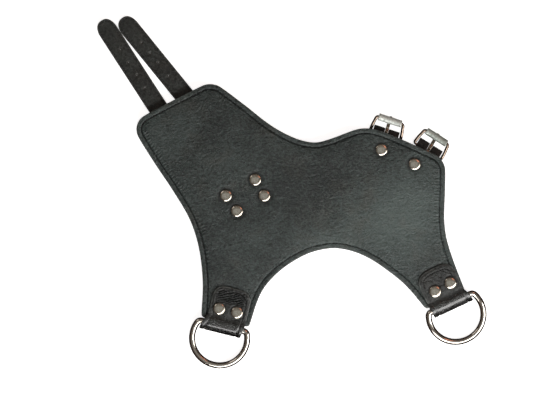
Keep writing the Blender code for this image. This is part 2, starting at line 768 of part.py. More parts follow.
def ring_tab(side, plan, base):
    """The leather tab folded round the ring's bar, and the thread round its flap. The
    base's X axis points out of the pad along the ring, its Y axis runs along the bar."""
    low_half, high_half = TAB_NEAR_HALF, TAB_FAR_HALF
    if plan["side"] < 0:
        low_half, high_half = TAB_FAR_HALF, TAB_NEAR_HALF
    rings = []
    for distance, height, normal in tab_rows():
        low = -tab_half(distance, low_half)
        high = tab_half(distance, high_half)
        inner, outer = [
            (-distance - normal[0] * reach, height + normal[1] * reach)
            for reach in (-TAB_THICKNESS / 2, TAB_THICKNESS / 2)
        ]
        rings.append([
            (inner[0], low, inner[1]), (inner[0], high, inner[1]),
            (outer[0], high, outer[1]), (outer[0], low, outer[1]),
        ])
    body = capped_solid(f"{side}_ring_tab", rings, base, MATERIALS["strap"])
    places = [base.matrix_basis.inverted() @ at((*place, 0.0)) / MM for place in plan["rivets"]]
    holes = [(place.x, place.y) for place in places]
    cut(body, hole_cutter(f"{side}_tab_holes", holes, HOLE_RADIUS, -PAD_MIDDLE, PAD_MIDDLE, base))

    run = TAB_LENGTH - TAB_SEAM_INSET - TAB_SEAM_START
    distances = [TAB_SEAM_START + run * part for part in (0.0, 0.35, 0.65, 0.85, 0.96, 1.0)]
    path = [Vector((-d, tab_half(d, high_half, TAB_SEAM_INSET))) for d in distances]
    path += [Vector((-d, -tab_half(d, low_half, TAB_SEAM_INSET))) for d in reversed(distances[:-1])]
    bottom = TAB_TOP - PAD_MIDDLE + THREAD_GAP
    rows = []
    for i, here in enumerate(path):
        along = (path[min(i + 1, len(path) - 1)] - path[max(i - 1, 0)]).normalized()
        rows.append((here, Vector((-along.y, along.x)), THREAD_WIDTH / 2, bottom, bottom + THREAD_HEIGHT))
    slat(f"{side}_tab_thread", rows, base, MATERIALS["thread"])


def ring_section(here, along):
    """The ring's half width and half height, the same everywhere."""
    return RING_WIRE, RING_WIRE


def ring_path():
    """The D-ring's centreline: the bar along Y through the origin, and the arc beyond it."""
    half = math.sqrt(RING_ARC ** 2 - RING_ARC_CENTRE ** 2)
    start = math.atan2(-half, -RING_ARC_CENTRE)
    sweep = 2 * abs(start)
    steps = 40
    arc = []
    for i in range(steps + 1):
        angle = start + sweep * i / steps
        arc.append((RING_ARC_CENTRE + RING_ARC * math.cos(angle), RING_ARC * math.sin(angle)))
    bar = [arc[-1], arc[0]]
    return closed_outline([(bar, RING_CORNER), (arc, RING_CORNER)], steps=4)


def d_ring(side, base):
    """A D-ring whose bar lies in the tab's fold and whose arc rests on the ground."""
    hinge = empty(f"{side}_ring_hinge", base, (0, 0, 0), (0.0, RING_TILT, 0.0))
    path = thinned(list(reversed(ring_path())), turn=math.radians(10), reach=60.0)
    wire(f"{side}_d_ring", path, ring_section, 8, hinge, MATERIALS["nickel"])


# ---------------------------------------------------------------- assembly


def build():
    """Make every piece."""
    frame = empty("harness_frame", None, (*DRAWING_ORIGIN, 0.0))
    rivets = {}
    for side, plan in STRAPS.items():
        rivets[f"{side}_strap_inner_rivet"] = (plan["inner_rivet"], LINING_TOP + GAP)
        rivets[f"{side}_strap_outer_rivet"] = (plan["outer_rivet"], LINING_TOP + GAP)
    for side, plan in BUCKLES.items():
        rivets[f"{side}_chape_rivet"] = (plan["rivet"], LINING_TOP + GAP)
    for side, plan in RINGS.items():
        for end, place in zip(("left", "right"), plan["rivets"]):
            rivets[f"{side}_tab_{end}_rivet"] = (place, TAB_TOP + GAP)
    pad_panels(frame, [place for place, seat in rivets.values()])
    for name, (place, seat) in rivets.items():
        rivet(name, place, seat, frame)
    for side, plan in STRAPS.items():
        strap(side, plan, frame)
    for side, plan in BUCKLES.items():
        buckle(side, plan, frame)
    for side, plan in RINGS.items():
        x, y = plan["bar"]
        base = empty(f"{side}_ring_base", frame, (x, y, PAD_MIDDLE), (0.0, 0.0, plan["angle"]))
        ring_tab(side, plan, base)
        d_ring(side, base)


for old in list(bpy.data.objects):
    bpy.data.objects.remove(old, do_unlink=True)
MATERIALS = make_materials()
build()
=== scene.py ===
import json
import math

import bmesh
import bpy
import numpy as np
from mathutils import Matrix, Vector
from mathutils.bvhtree import BVHTree
from mathutils.geometry import delaunay_2d_cdt


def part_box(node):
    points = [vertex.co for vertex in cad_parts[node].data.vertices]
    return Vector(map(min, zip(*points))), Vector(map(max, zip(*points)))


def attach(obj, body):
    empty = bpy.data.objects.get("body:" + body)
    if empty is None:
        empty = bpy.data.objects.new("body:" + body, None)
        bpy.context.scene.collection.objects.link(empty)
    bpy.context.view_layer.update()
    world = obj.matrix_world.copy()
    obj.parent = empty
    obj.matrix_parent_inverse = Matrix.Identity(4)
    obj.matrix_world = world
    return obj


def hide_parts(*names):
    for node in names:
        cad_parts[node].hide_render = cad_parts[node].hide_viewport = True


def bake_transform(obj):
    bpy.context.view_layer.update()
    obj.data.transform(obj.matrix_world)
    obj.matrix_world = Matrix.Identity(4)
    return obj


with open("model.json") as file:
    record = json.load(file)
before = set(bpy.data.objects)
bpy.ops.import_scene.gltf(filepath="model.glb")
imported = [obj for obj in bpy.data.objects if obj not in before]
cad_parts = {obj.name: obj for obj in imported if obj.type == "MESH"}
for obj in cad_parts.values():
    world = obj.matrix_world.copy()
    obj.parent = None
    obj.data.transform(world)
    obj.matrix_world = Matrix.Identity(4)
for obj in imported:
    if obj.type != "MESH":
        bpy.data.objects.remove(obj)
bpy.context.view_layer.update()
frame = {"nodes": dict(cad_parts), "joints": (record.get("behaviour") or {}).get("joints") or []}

# Looks for a leather belly pad that lies lining up, with two straps, two roller buckles
# and two D-rings. Lengths in the mesh code are millimetres until MM turns them into
# metres, and "skin" coordinates are millimetres along the flat leather.
columns = np.column_stack
MM = 0.001
SIDES = ("left", "right")

# Heights of the stack.
OUTER_LOW, OUTER_HIGH = 5.2, 7.3
CORE_HIGH = 10.1
BORDER_HIGH = 11.15
FIELD_HIGH = 11.95
UNDER_CAP = 11.85
PUFF = 0.55
SEAM_INSET = 5.0

# Stitches: (share of the length, share of the radius, lift) along one, and the length
# and radius of those in the seam, on the tabs and on the straps.
STITCH_ROWS = (
    (-0.5, 0.35, -0.28), (-0.36, 0.85, -0.02), (0.0, 1.0, 0.1), (0.36, 0.85, -0.02), (0.5, 0.35, -0.28),
)
STITCH_PITCH, STITCH_SIDES, STITCH_SKEW, STITCH_FLAT = 3.1, 7, 0.12, 0.8
SEAM_STITCH, TAB_STITCH, STRAP_STITCH = (2.3, 0.42), (2.0, 0.44), (2.1, 0.36)

# What a material reads at each point: the place on the flat leather, the burnished edge,
# the polish, and the paleness, which carries painted sheen, highlights and shade besides paler and darker
# patches.
MARK_NAMES = ("skin", "rim", "gloss", "pale")

# Rivets.
CAP_RISE, CAP_SIDES, CAP_SINK = 2.1, 44, 0.02

# Tabs and rings, in the frame of each ring's hinge.
TAB_FLAP, TAB_SQUARE, TAB_FLARE = 39.4, 24.0, 9.0
TAB_FOLD_HALF = 21.0
TAB_HALVES = {"left": (17.2, 21.8), "right": (21.8, 17.2)}
TAB_SEAM_INSET = 4.6
TAB_SEWN_FROM = 24.2
LEATHER = 2.5
TAB_RISE = 4.8
TAB_REACH = {"left": 6.9, "right": 5.95}
TAB_SKEW = {"left": -1.5, "right": 0.6}
# Wrinkles on each flap: (lean in degrees, spacing, depth).
TAB_WRINKLES = {"left": (13, 2.3, 1.25), "right": (-20, 3.4, 0.12)}
TAB_CREST = [
    (-9.0, 4.75), (-6.5, 4.8), (-4.0, 5.05), (-1.8, 5.0), (0.4, 4.6), (2.4, 3.95), (4.3, 2.8), (5.8, 1.35),
    (6.6, -0.4), (6.1, -2.1), (4.3, -3.7), (0.0, -4.8),
]
RING_WIRE, RING_ARC, RING_CENTRE, RING_CORNER = 3.1, 27.6, 13.0, 4.2
RING_SIDES = 32
RING_TILT = math.asin(5.35 / (RING_CENTRE + RING_ARC))

# Buckles, in the frame of each heel bar.
FRAME_WIRE, FRAME_FRONT, FRAME_SIDE, FRAME_SIDES = 1.2, 1.6, 1.65, 20
FRAME_CORNERS = [
    (0.0, -16.0, 2.2), (0.0, 16.0, 2.2), (8.0, 15.4, 16.0),
    (17.0, 13.8, 2.2), (17.0, -13.8, 2.2), (8.0, -15.4, 16.0),
]
ROLLER_PLACE = 17.0
ROLLER_END = [
    (1.95, 12.0), (3.3, 12.0), (3.58, 11.87), (3.7, 11.5), (3.7, 10.8), (3.6, 10.55), (3.6, 6.0), (3.62, 2.0),
]
ROLLER_PROFILE = [(r, -h) for r, h in ROLLER_END] + ROLLER_END[::-1]
# A roller is a rolled tube: which of its sides the seam runs along, and how deep it is.
ROLLER_SIDES, ROLLER_SEAM, ROLLER_SEAM_DEPTH, ROLLER_BORE = 56, 34, 0.22, 2.5
TONGUE_HALF = 1.7
TONGUE_TURNS = (np.arange(14) + 0.5) * math.tau / 14
TONGUE_LINE = [
    (1.9, 0.0), (4.4, -0.1), (6.8, -0.9), (9.3, -2.8), (11.1, -4.25), (12.8, -4.85), (16.5, -4.9),
    (20.4, -4.9),
]
CHAPE_HALF, CHAPE_BACK, CHAPE_FOLD, CHAPE_RISE = 13.2, 26.0, 7.7, 1.95
CHAPE_LEAF, CHAPE_LOW = 0.5, 0.65
CHAPE_RAMP = 10.0
CHAPE_SLOT = (1.85, 3.4, 9.0)

# Straps, along each one from the pad's edge: its hinges, its cuts, its length and its holes.
STRAP_HALF, STRAP_MIDDLE = 9.8, 3.65
HINGES = (5.0, 32.5, 61.5)
STRAP_CUTS = (18.75, 47.0)
STRAP_TAIL, STRAP_POINT = 12.0, 13.0
STRAP_LENGTH = {"left": 104.85, "right": 99.17}
PUNCHES = {"left": (24.4, 39.5, 54.6, 70.0), "right": (24.6, 41.6, 54.2, 67.6)}
PUNCH_RADIUS, PUNCH_LOW, PUNCH_DRAWN, PUNCH_SIDES = 1.3, 0.2, 2.6, 18
STRAP_SEAM_INSET, STRAP_STITCH_PITCH = 2.5, 2.9


# ---- the frame


def joint(name):
    """A joint's row in the record."""
    return next(row for row in frame["joints"] if row["name"] == name)


def middle_of(node):
    """The middle of a CAD node's box, in millimetres."""
    low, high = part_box(node)
    return (low + high) / 2 / MM


def hinge_place(name):
    """A joint's place, in metres."""
    return Vector(joint(name)["pos_m"])


def hinge_frame(name, tilt=0.0):
    """A hinge's frame in millimetres: X out of the pad, Y along the bar, leaned by tilt."""
    y = -Vector(joint(name)["axis"]).normalized()
    x = Vector((y.y, -y.x, 0.0))
    turn = Matrix((x, y, Vector((0, 0, 1)))).transposed().to_4x4()
    return Matrix.Translation(hinge_place(name) / MM) @ turn @ Matrix.Rotation(tilt, 4, "Y")


def moved(matrix, points):
    """Points moved by a matrix, as an array."""
    m = np.array(matrix)
    return np.asarray(points, float) @ m[:3, :3].T + m[:3, 3]


def outline_of(node):
    """The outer edge of a flat CAD node's lower face, counterclockwise."""
    mesh = frame["nodes"][node].data
    places = np.array([v.co[:] for v in mesh.vertices]) / MM
    floor = places[:, 2].min()
    keys = [tuple(np.round(p[:2], 2)) for p in places]
    onward = {}
    for face in mesh.polygons:
        if all(places[i][2] < floor + 0.05 for i in face.vertices):
            ring = [keys[i] for i in face.vertices]
            for a, b in zip(ring, ring[1:] + ring[:1]):
                if (b, a) in onward:
                    del onward[(b, a)]
                else:
                    onward[(a, b)] = True
    following = dict(onward.keys())
    loops = []
    while following:
        start, here = following.popitem()
        loop = [start]
        while here != start:
            loop.append(here)
            here = following.pop(here)
        loops.append(np.array(loop))
    best = max(loops, key=lambda loop: abs(area(loop)))
    return best if area(best) > 0 else best[::-1]


# ---- plane shapes


def unit(rows):
    """Vectors scaled to a length of 1."""
    return rows / np.linalg.norm(rows, axis=1)[:, None]


def run_of(line):
    """How far along a line each of its points lies."""
    return np.concatenate([[0.0], np.cumsum(np.linalg.norm(np.diff(line, axis=0), axis=1))])


def chords(loop):
    """From the point before to the point after, at each point of a closed loop."""
    return np.roll(loop, -1, axis=0) - np.roll(loop, 1, axis=0)


def reach_of(points, place):
    """Each point's distance from a place in plan."""
    return np.hypot(*(points - np.array(place)).T)


def averaged(line, kernel):
    """A line smoothed by a kernel, shorter by the kernel's length less one."""
    return columns([np.convolve(line[:, k], kernel, "valid") for k in range(2)])


def area(loop):
    """Signed area of a closed loop."""
    x, y = np.asarray(loop, float).T
    return 0.5 * float(np.dot(x, np.roll(y, -1)) - np.dot(y, np.roll(x, -1)))


def resampled(points, step, closed=True):
    """Evenly spaced points along a line of any dimension."""
    line = np.asarray(points, float)
    if closed:
        line = np.vstack([line, line[:1]])
    run = run_of(line)
    count = max(4, int(round(run[-1] / step)))
    places = np.linspace(0.0, run[-1], count + (not closed), endpoint=not closed)
    return columns([np.interp(places, run, values) for values in line.T])


def smooth_loop(points, step):
    """A smooth closed curve (centripetal Catmull-Rom) through points, evenly sampled."""
    knots = np.asarray(points, float)
    curve = []
    for i in range(len(knots)):
        p = [knots[(i + k - 1) % len(knots)] for k in range(4)]
        t = np.cumsum([0.0] + [max(1e-4, np.linalg.norm(b - a)) ** 0.5 for a, b in zip(p, p[1:])])
        for here in np.linspace(t[1], t[2], max(2, int(t[2] ** 2 / 2)), endpoint=False):
            level = p
            for spans in (((0, 1), (1, 2), (2, 3)), ((0, 2), (1, 3)), ((1, 2),)):
                level = [
                    (t[b] - here) / (t[b] - t[a]) * level[k] + (here - t[a]) / (t[b] - t[a]) * level[k + 1]
                    for k, (a, b) in enumerate(spans)]
            curve.append(level[0])
    return resampled(curve, step)


def filleted(corners, step=0.4):
    """A closed line through (x, y, radius) corners, each rounded by its radius."""
    line = []
    count = len(corners)
    for i in range(count):
        here = Vector(corners[i][:2])
        back = (Vector(corners[i - 1][:2]) - here).normalized()
        onward = (Vector(corners[(i + 1) % count][:2]) - here).normalized()
        half = back.angle(onward) / 2
        radius = corners[i][2]
        centre = here + (back + onward).normalized() * (radius / math.sin(half))
        start = here + back * (radius / math.tan(half)) - centre
        end = here + onward * (radius / math.tan(half)) - centre
        sweep = end.angle_signed(start)
        for k in range(9):
            line.append(centre + Matrix.Rotation(sweep * k / 8, 2) @ start)
    return resampled([p[:] for p in line], step)


def slab(low, high, half, radii, step):
    """A rectangle from low to high along X, its corners rounded by a radius at each end."""
    ends = ((low, radii[0]), (high, radii[1]))
    corners = [(x, -half, radius) for x, radius in ends] + [(x, half, radius) for x, radius in ends[::-1]]
    return filleted(corners, step)


def to_edge(points, loop):
    """Each point's distance to a closed loop, and how far round the loop it is nearest."""
    start = np.asarray(loop, float)
    side = np.roll(start, -1, axis=0) - start
    squared = (side ** 2).sum(1) + 1e-12
    length = np.sqrt(squared)
    run = np.concatenate([[0.0], np.cumsum(length)[:-1]])
    distance = np.empty(len(points))
    along = np.empty(len(points))
    for first in range(0, len(points), 2000):
        part = points[first:first + 2000]
        x = part[:, None, 0] - start[None, :, 0]
        y = part[:, None, 1] - start[None, :, 1]
        t = np.clip((x * side[:, 0] + y * side[:, 1]) / squared, 0, 1)
        away = (x - t * side[:, 0]) ** 2 + (y - t * side[:, 1]) ** 2
        near = away.argmin(1)
        rows = np.arange(len(part))
        distance[first:first + 2000] = np.sqrt(away[rows, near])
        along[first:first + 2000] = run[near] + t[rows, near] * length[near]
    return distance, along


def inside(points, loop):
    """Which points lie inside a closed loop."""
    start = np.asarray(loop, float)
    end = np.roll(start, -1, axis=0)
    result = np.empty(len(points), bool)
    rise = np.where(np.abs(end[:, 1] - start[:, 1]) < 1e-12, 1e-12, end[:, 1] - start[:, 1])
    for first in range(0, len(points), 4000):
        part = points[first:first + 4000]
        y = part[:, None, 1]
        spans = (start[None, :, 1] > y) != (end[None, :, 1] > y)
        cross = start[:, 0] + (y - start[:, 1]) * (end[:, 0] - start[:, 0]) / rise
        result[first:first + 4000] = ((part[:, None, 0] < cross) & spans).sum(1) % 2 == 1
    return result


def offset(loop, distance):
    """The loop's points moved inwards, less those that would crowd together."""
    along = unit(chords(loop))
    inward = columns([-along[:, 1], along[:, 0]])
    points = loop + inward * distance
    return points[(to_edge(points, loop)[0] > distance * 0.985) & inside(points, loop)]


def circle(centre, radius, count):
    """A circle of points."""
    angles = np.arange(count) * math.tau / count
    return columns([centre[0] + radius * np.cos(angles), centre[1] + radius * np.sin(angles)])


def inset_rows(loop, insets):
    """Rows of points along the inside of a loop."""
    return [offset(loop, inset) for inset in insets]


def planned(loop, rows, clear, spacing, holes=(), cuts=()):
    """A triangulated plan of a shape: rows along its edge, lines round its holes and
    across it at the cuts, and an even lattice that keeps clear of the edge. Returns
    points and faces."""
    groups, ties = [], []
    for edge in (loop, *holes):
        first = sum(map(len, groups))
        ties += [(first + i, first + (i + 1) % len(edge)) for i in range(len(edge))]
        groups.append(edge)
    for cut in cuts:
        first = sum(map(len, groups))
        line = resampled(cut, 1.0, closed=False)
        ties += [(first + i, first + i + 1) for i in range(len(line) - 1)]
        groups.append(line)
    groups += rows
    low, high = loop.min(0), loop.max(0)
    xs = np.arange(low[0], high[0], spacing)
    ys = np.arange(low[1], high[1], spacing * math.sqrt(3) / 2)
    lattice = np.array([(x + spacing / 2 * (row % 2), y) for row, y in enumerate(ys) for x in xs])
    lattice = lattice[inside(lattice, loop)]
    lattice = lattice[to_edge(lattice, loop)[0] > clear + spacing * 0.5]
    for hole in holes:
        lattice = lattice[to_edge(lattice, hole)[0] > spacing * 0.4]
        lattice = lattice[~inside(lattice, hole)]
    for cut in cuts:
        lattice = lattice[np.abs(lattice[:, 0] - cut[0][0]) > 0.4]
    groups.append(lattice)
    points = np.vstack(groups)
    result = delaunay_2d_cdt([Vector(p) for p in points], ties, [], 0, 1e-4)
    places = np.array([p[:] for p in result[0]])
    faces = np.array(result[2])
    middles = places[faces].mean(1)
    keep = inside(middles, loop)
    for hole in holes:
        keep &= ~inside(middles, hole)
    faces = faces[keep]
    a, b, c = (places[faces[:, k]] for k in range(3))
    turned = (b[:, 0] - a[:, 0]) * (c[:, 1] - a[:, 1]) - (b[:, 1] - a[:, 1]) * (c[:, 0] - a[:, 0])
    faces = faces[np.abs(turned) > 1e-7]
    turned = turned[np.abs(turned) > 1e-7]
    faces[turned < 0] = faces[turned < 0][:, ::-1]
    return places, faces


# ---- smooth variation


def swell(points, length, seed):
    """Smooth variation between about -1 and 1 over a plane or in space."""
    random = np.random.default_rng(seed)
    total = np.zeros(len(points))
    for _ in range(7):
        direction = random.normal(size=points.shape[1])
        direction /= np.linalg.norm(direction)
        wave = math.tau / (length * random.uniform(0.7, 1.5))
        total += np.sin(points @ direction * wave + random.uniform(0, math.tau))
    return total / 3.2


def step_up(value, low, high):
    """0 below low, 1 above high, smooth between."""
    t = np.clip((value - low) / (high - low), 0, 1)
    return t * t * (3 - 2 * t)


def hollow(value, at, width):
    """1 at a value, falling away over a width."""
    return np.exp(-((value - at) / width) ** 2)


def rounding(distance, radius):
    """How far up a rounded edge has come, 0 to 1, at a distance in from the edge."""
    t = np.clip(distance / radius, 0, 1)
    return np.sqrt(1 - (1 - t) ** 2)


# ---- meshes


def added(name, data):
    """A new object in the scene."""
    made = bpy.data.objects.new(name, data)
    bpy.context.scene.collection.objects.link(made)
    return made


def piece(name, places, faces, look, slot, node_names, sharp=50.0, **marks):
    """A shown piece from points in millimetres, which stands for the CAD nodes named."""
    mesh = bpy.data.meshes.new(name)
    mesh.from_pydata((np.asarray(places) * MM).tolist(), [], [tuple(int(i) for i in f) for f in faces])
    work = bmesh.new()
    work.from_mesh(mesh)
    bmesh.ops.recalc_face_normals(work, faces=work.faces)
    work.to_mesh(mesh)
    work.free()
    for label in MARK_NAMES:
        kind, field = ("FLOAT_VECTOR", "vector") if label == "skin" else ("FLOAT", "value")
        values = marks.get(label, places if label == "skin" else np.zeros(len(places)))
        attribute = mesh.attributes.new(label, kind, "POINT")
        attribute.data.foreach_set(field, np.asarray(values, np.float32).ravel())
    mesh.shade_smooth()
    mesh.set_sharp_from_angle(angle=math.radians(sharp))
    mesh.materials.append(LOOKS[look])
    made = added(name, mesh)
    if node_names:
        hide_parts(*node_names)
    return made


def sheet_faces(faces, count):
    """Faces of a closed sheet: the plan above, the plan below and the wall between."""
    edges = np.vstack([faces[:, [0, 1]], faces[:, [1, 2]], faces[:, [2, 0]]])
    there = set(map(tuple, edges.tolist()))
    rim = [(a, b) for a, b in there if (b, a) not in there]
    walls = [(a + count, b + count, b, a) for a, b in sorted(rim)]
    return [tuple(f) for f in faces] + [tuple(f[::-1] + count) for f in faces] + walls


def sheet(name, plan, upper, lower, place, look, slot, node_names, sharp=50.0, under=None, **marks):
    """A leather sheet: its plan raised to the upper and lower heights and put in place.
    The lower side can have its own places in plan."""
    points, faces = plan
    top = place(points, upper)
    bottom = place(points if under is None else under, lower)
    skin = np.vstack([columns([points, upper]), columns([points, lower])])
    doubled = {label: np.concatenate([values, values]) for label, values in marks.items()}
    return piece(name, np.vstack([top, bottom]), sheet_faces(faces, len(points)), look, slot, node_names,
                 sharp, skin=skin, **doubled)


def loop_faces(rows, sides, closed=True):
    """Faces of a tube of rows of points, closed on itself or with a face at each end."""
    faces = []
    for a in range(rows if closed else rows - 1):
        here, beyond = a * sides, (a + 1) % rows * sides
        for i in range(sides):
            j = (i + 1) % sides
            faces.append((here + i, here + j, beyond + j, beyond + i))
    if not closed:
        faces += [tuple(range(sides)), tuple(range((rows - 1) * sides, rows * sides))]
    return faces


def shifted(faces, start):
    """Faces whose points come after others in one mesh."""
    return [tuple(i + start for i in face) for face in faces]


def lathe(name, profile, matrix, segments, look, slot, node_names, closed=False, dent=0.0, seam=None):
    """A profile of (radius, height) turned about the matrix's Z axis."""
    places = []
    for radius, height in profile:
        for k, angle in enumerate(np.arange(segments) * math.tau / segments):
            reach = radius - (ROLLER_SEAM_DEPTH if k == seam and radius > ROLLER_BORE else 0.0)
            places.append((reach * math.cos(angle), reach * math.sin(angle), height))
    places = np.array(places)
    if dent:
        places[:, 2] += dent * swell(places, 4.0, len(name) + int(places[:, 2].max() * 7))
    faces = loop_faces(len(profile), segments, closed)
    return piece(name, moved(matrix, places), faces, look, slot, node_names, 40.0, skin=places)


def tube_rows(path, section, sides):
    """Points of a wire along a closed line in its local XY plane. The section gives its
    half widths and half heights at places where it runs in directions."""
    line = columns([path, np.zeros(len(path))])
    along = unit(chords(line))
    across = columns([along[:, 1], -along[:, 0], np.zeros(len(line))])
    width, height = section(line, along)
    angles = np.arange(sides) * math.tau / sides
    ring = across[:, None, :] * np.cos(angles)[None, :, None] * width[:, None, None]
    ring[:, :, 2] += np.sin(angles)[None, :] * height[:, None]
    return line[:, None, :] + ring


def ring_section(line, along):
    """The D-ring's wire is round."""
    return np.full(len(line), RING_WIRE), np.full(len(line), RING_WIRE)


def frame_section(line, along):
    """The buckle's wire is thickest at the front, with flattened sides."""
    height = FRAME_WIRE + (FRAME_FRONT - FRAME_WIRE) * step_up(line[:, 0], 6.0, 14.0)
    return height + (FRAME_SIDE - height) * along[:, 0] ** 2, height


def stitches(name, centres, along, facing, size, node_names):
    """Separate stitches of thick thread, each sunk at its ends. Facing is 1 on an upper
    face and -1 on a lower one, and size is a stitch's length and radius."""
    length, radius = size
    up = np.outer(facing * np.ones(len(centres)), (0.0, 0.0, 1.0))
    angles = np.arange(STITCH_SIDES) * math.tau / STITCH_SIDES
    places, faces = [], []
    for centre, forward, high, side in zip(centres, along, up, np.cross(up, along)):
        forward = forward + side * STITCH_SKEW
        faces += shifted(loop_faces(len(STITCH_ROWS), STITCH_SIDES, closed=False), len(places))
        for share, wide, lift in STITCH_ROWS:
            middle = centre + forward * (share * length) + high * lift
            places += [middle + side * (math.cos(angle) * radius * wide)
                       + high * (math.sin(angle) * radius * wide * STITCH_FLAT) for angle in angles]
    return piece(name, np.array(places), faces, "thread", "thread", node_names, 80.0)


# ---- materials


class Nodes:
    """A short way to make a node tree."""

    def __init__(self, name):
        self.material = bpy.data.materials.new(name)
        self.material.use_nodes = True
        self.tree = self.material.node_tree
        self.shader = self.tree.nodes["Principled BSDF"]

    def add(self, kind, inputs=None, **settings):
        node = self.tree.nodes.new(kind)
        for key, value in settings.items():
            setattr(node, key, value)
        for key, value in (inputs or {}).items():
            self.put(node.inputs[key], value)
        return node

    def put(self, socket, value):
        if isinstance(value, bpy.types.NodeSocket):
            self.tree.links.new(value, socket)
        else:
            socket.default_value = value

    def attribute(self, name):
        node = self.add("ShaderNodeAttribute", attribute_name=name)
        return node.outputs["Vector" if name == "skin" else "Fac"]

    def mapped(self, vector, turn, stretch=(1.0, 1.0, 1.0)):
        inputs = {"Vector": vector, "Rotation": (0, 0, turn), "Scale": stretch}
        return self.add("ShaderNodeMapping", inputs).outputs["Vector"]

    def noise(self, vector, size, detail=3.0, roughness=0.55, warp=0.0, stretch=None, turn=0.0):
        """Noise whose features are about this many millimetres across."""
        if stretch:
            vector = self.mapped(vector, turn, stretch)
        return self.add("ShaderNodeTexNoise", {
            "Vector": vector, "Scale": 1.0 / size, "Detail": detail, "Roughness": roughness,
            "Distortion": warp}).outputs["Fac"]

    def ramp(self, value, low, high, out_low=0.0, out_high=1.0):
        return self.add("ShaderNodeMapRange", {
            "Value": value, "From Min": low, "From Max": high, "To Min": out_low, "To Max": out_high,
        }, clamp=True).outputs["Result"]

    def sum(self, a, b, kind="ADD"):
        return self.add("ShaderNodeMath", {0: a, 1: b}, operation=kind).outputs[0]

    def blend(self, share, a, b):
        return self.add("ShaderNodeMix", {0: share, 6: a, 7: b}, data_type="RGBA").outputs[2]

    def bump(self, height, strength, distance, normal=None):
        inputs = {"Height": height, "Strength": strength, "Distance": distance}
        if normal:
            inputs["Normal"] = normal
        return self.add("ShaderNodeBump", inputs).outputs["Normal"]

    def finish(self, **values):
        for key, value in values.items():
            self.put(self.shader.inputs[key.replace("_", " ")], value)
        return self.material


def leather_look(name, dark, light, rim, roughness, grain, bump, crease, specular=0.5, coat=0.0, gloss=0.25):
    """Grained leather: pebbled grain, stretched creases, cloudy tone and burnished edges."""
    n = Nodes(name)
    skin = n.attribute("skin")
    cloud = n.noise(skin, 38.0, 4.0, 0.6, 0.8)
    streak = n.noise(skin, 5.0, 5.0, 0.66, 1.3, (0.6, 1.25, 1.0), math.radians(-38))
    fine = n.noise(skin, grain * 0.55, 2.0, 0.6)
    cells = n.add("ShaderNodeTexVoronoi", {"Vector": skin, "Scale": 1.0 / grain, "Randomness": 0.95},
                  feature="SMOOTH_F1").outputs["Distance"]
    patch = n.noise(skin, 75.0, 2.0, 0.5, 0.4)
    mottle = n.noise(skin, 2.5, 3.0, 0.75, 0.6)
    tone = n.sum(n.ramp(cloud, 0.36, 0.64, 0.0, 0.34), n.ramp(patch, 0.36, 0.64, 0.0, 0.2))
    tone = n.sum(tone, n.ramp(streak, 0.3, 0.7, -0.12, 0.26))
    tone = n.sum(tone, n.ramp(mottle, 0.36, 0.64, -0.4, 0.46))
    # The pale attribute lightens or darkens the colour: painted sheen, highlights and shade, besides patches
    # of tone.
    tone = n.sum(n.sum(tone, n.attribute("pale")), 0.65, "MULTIPLY")
    colour = n.blend(tone, (*dark, 1), (*light, 1))
    brown = n.blend(tone, (dark[0] * 1.35, dark[1], dark[2] * 0.85, 1),
                    (light[0] * 1.3, light[1], light[2] * 0.92, 1))
    colour = n.blend(n.ramp(n.noise(skin, 24.0, 3.0), 0.52, 0.72, 0.0, 0.6), colour, brown)
    worn = n.sum(n.attribute("rim"), n.ramp(n.noise(skin, 5.0, 4.0), 0.3, 0.6, 0.25, 1.0), "MULTIPLY")
    colour = n.blend(worn, colour, (*rim, 1))
    rough = n.ramp(n.noise(skin, 9.0, 4.0, 0.65), 0.3, 0.7, roughness - 0.07, roughness + 0.1)
    rough = n.sum(rough, n.sum(n.attribute("gloss"), 0.6, "MULTIPLY"), "SUBTRACT")
    rough = n.sum(rough, 0.1, "MAXIMUM")
    first = n.bump(mottle, crease, 0.0012, n.bump(streak, crease, 0.0012))
    second = n.bump(cells, bump, 0.0004, first)
    third = n.bump(fine, bump * 0.8, 0.0002, second)
    polish = n.sum(n.attribute("gloss"), coat, "MULTIPLY") if coat else 0.0
    return n.finish(Base_Color=colour, Roughness=rough, Normal=third, Specular_IOR_Level=specular,
                    Coat_Weight=polish, Coat_Roughness=gloss)


def metal_look(name, light, dark, roughness, spots, scratch, metallic=1.0):
    """Plated metal: a warm cast, cloudy tarnish and fine scratches."""
    n = Nodes(name)
    skin = n.attribute("skin")
    cloud = n.noise(skin, spots, 5.0, 0.62, 0.6)
    lines = n.noise(skin, 0.7, 3.0, 0.6, 0.2, (0.15, 2.4, 2.0), 0.5)
    colour = n.blend(n.ramp(cloud, 0.35, 0.68), (*light, 1), (*dark, 1))
    rough = n.sum(n.ramp(cloud, 0.3, 0.7, roughness * 0.6, roughness * 1.5),
                  n.ramp(lines, 0.5, 0.75, 0.0, roughness * 0.8))
    normal = n.bump(lines, scratch, 0.00003, n.bump(cloud, scratch * 1.4, 0.00008))
    return n.finish(Base_Color=colour, Metallic=metallic, Roughness=rough, Normal=normal)


def thread_look():
    """Twisted waxed thread."""
    n = Nodes("thread_look")
    skin = n.attribute("skin")
    twist = n.add("ShaderNodeTexWave", {
        "Vector": n.mapped(skin, 0.7), "Scale": 0.9, "Distortion": 1.2, "Detail": 2.0}).outputs["Fac"]
    colour = n.blend(twist, (0.006, 0.006, 0.007, 1), (0.022, 0.022, 0.024, 1))
    return n.finish(Base_Color=colour, Roughness=n.ramp(twist, 0, 1, 0.55, 0.72),
                    Normal=n.bump(twist, 0.6, 0.00012), Specular_IOR_Level=0.3)


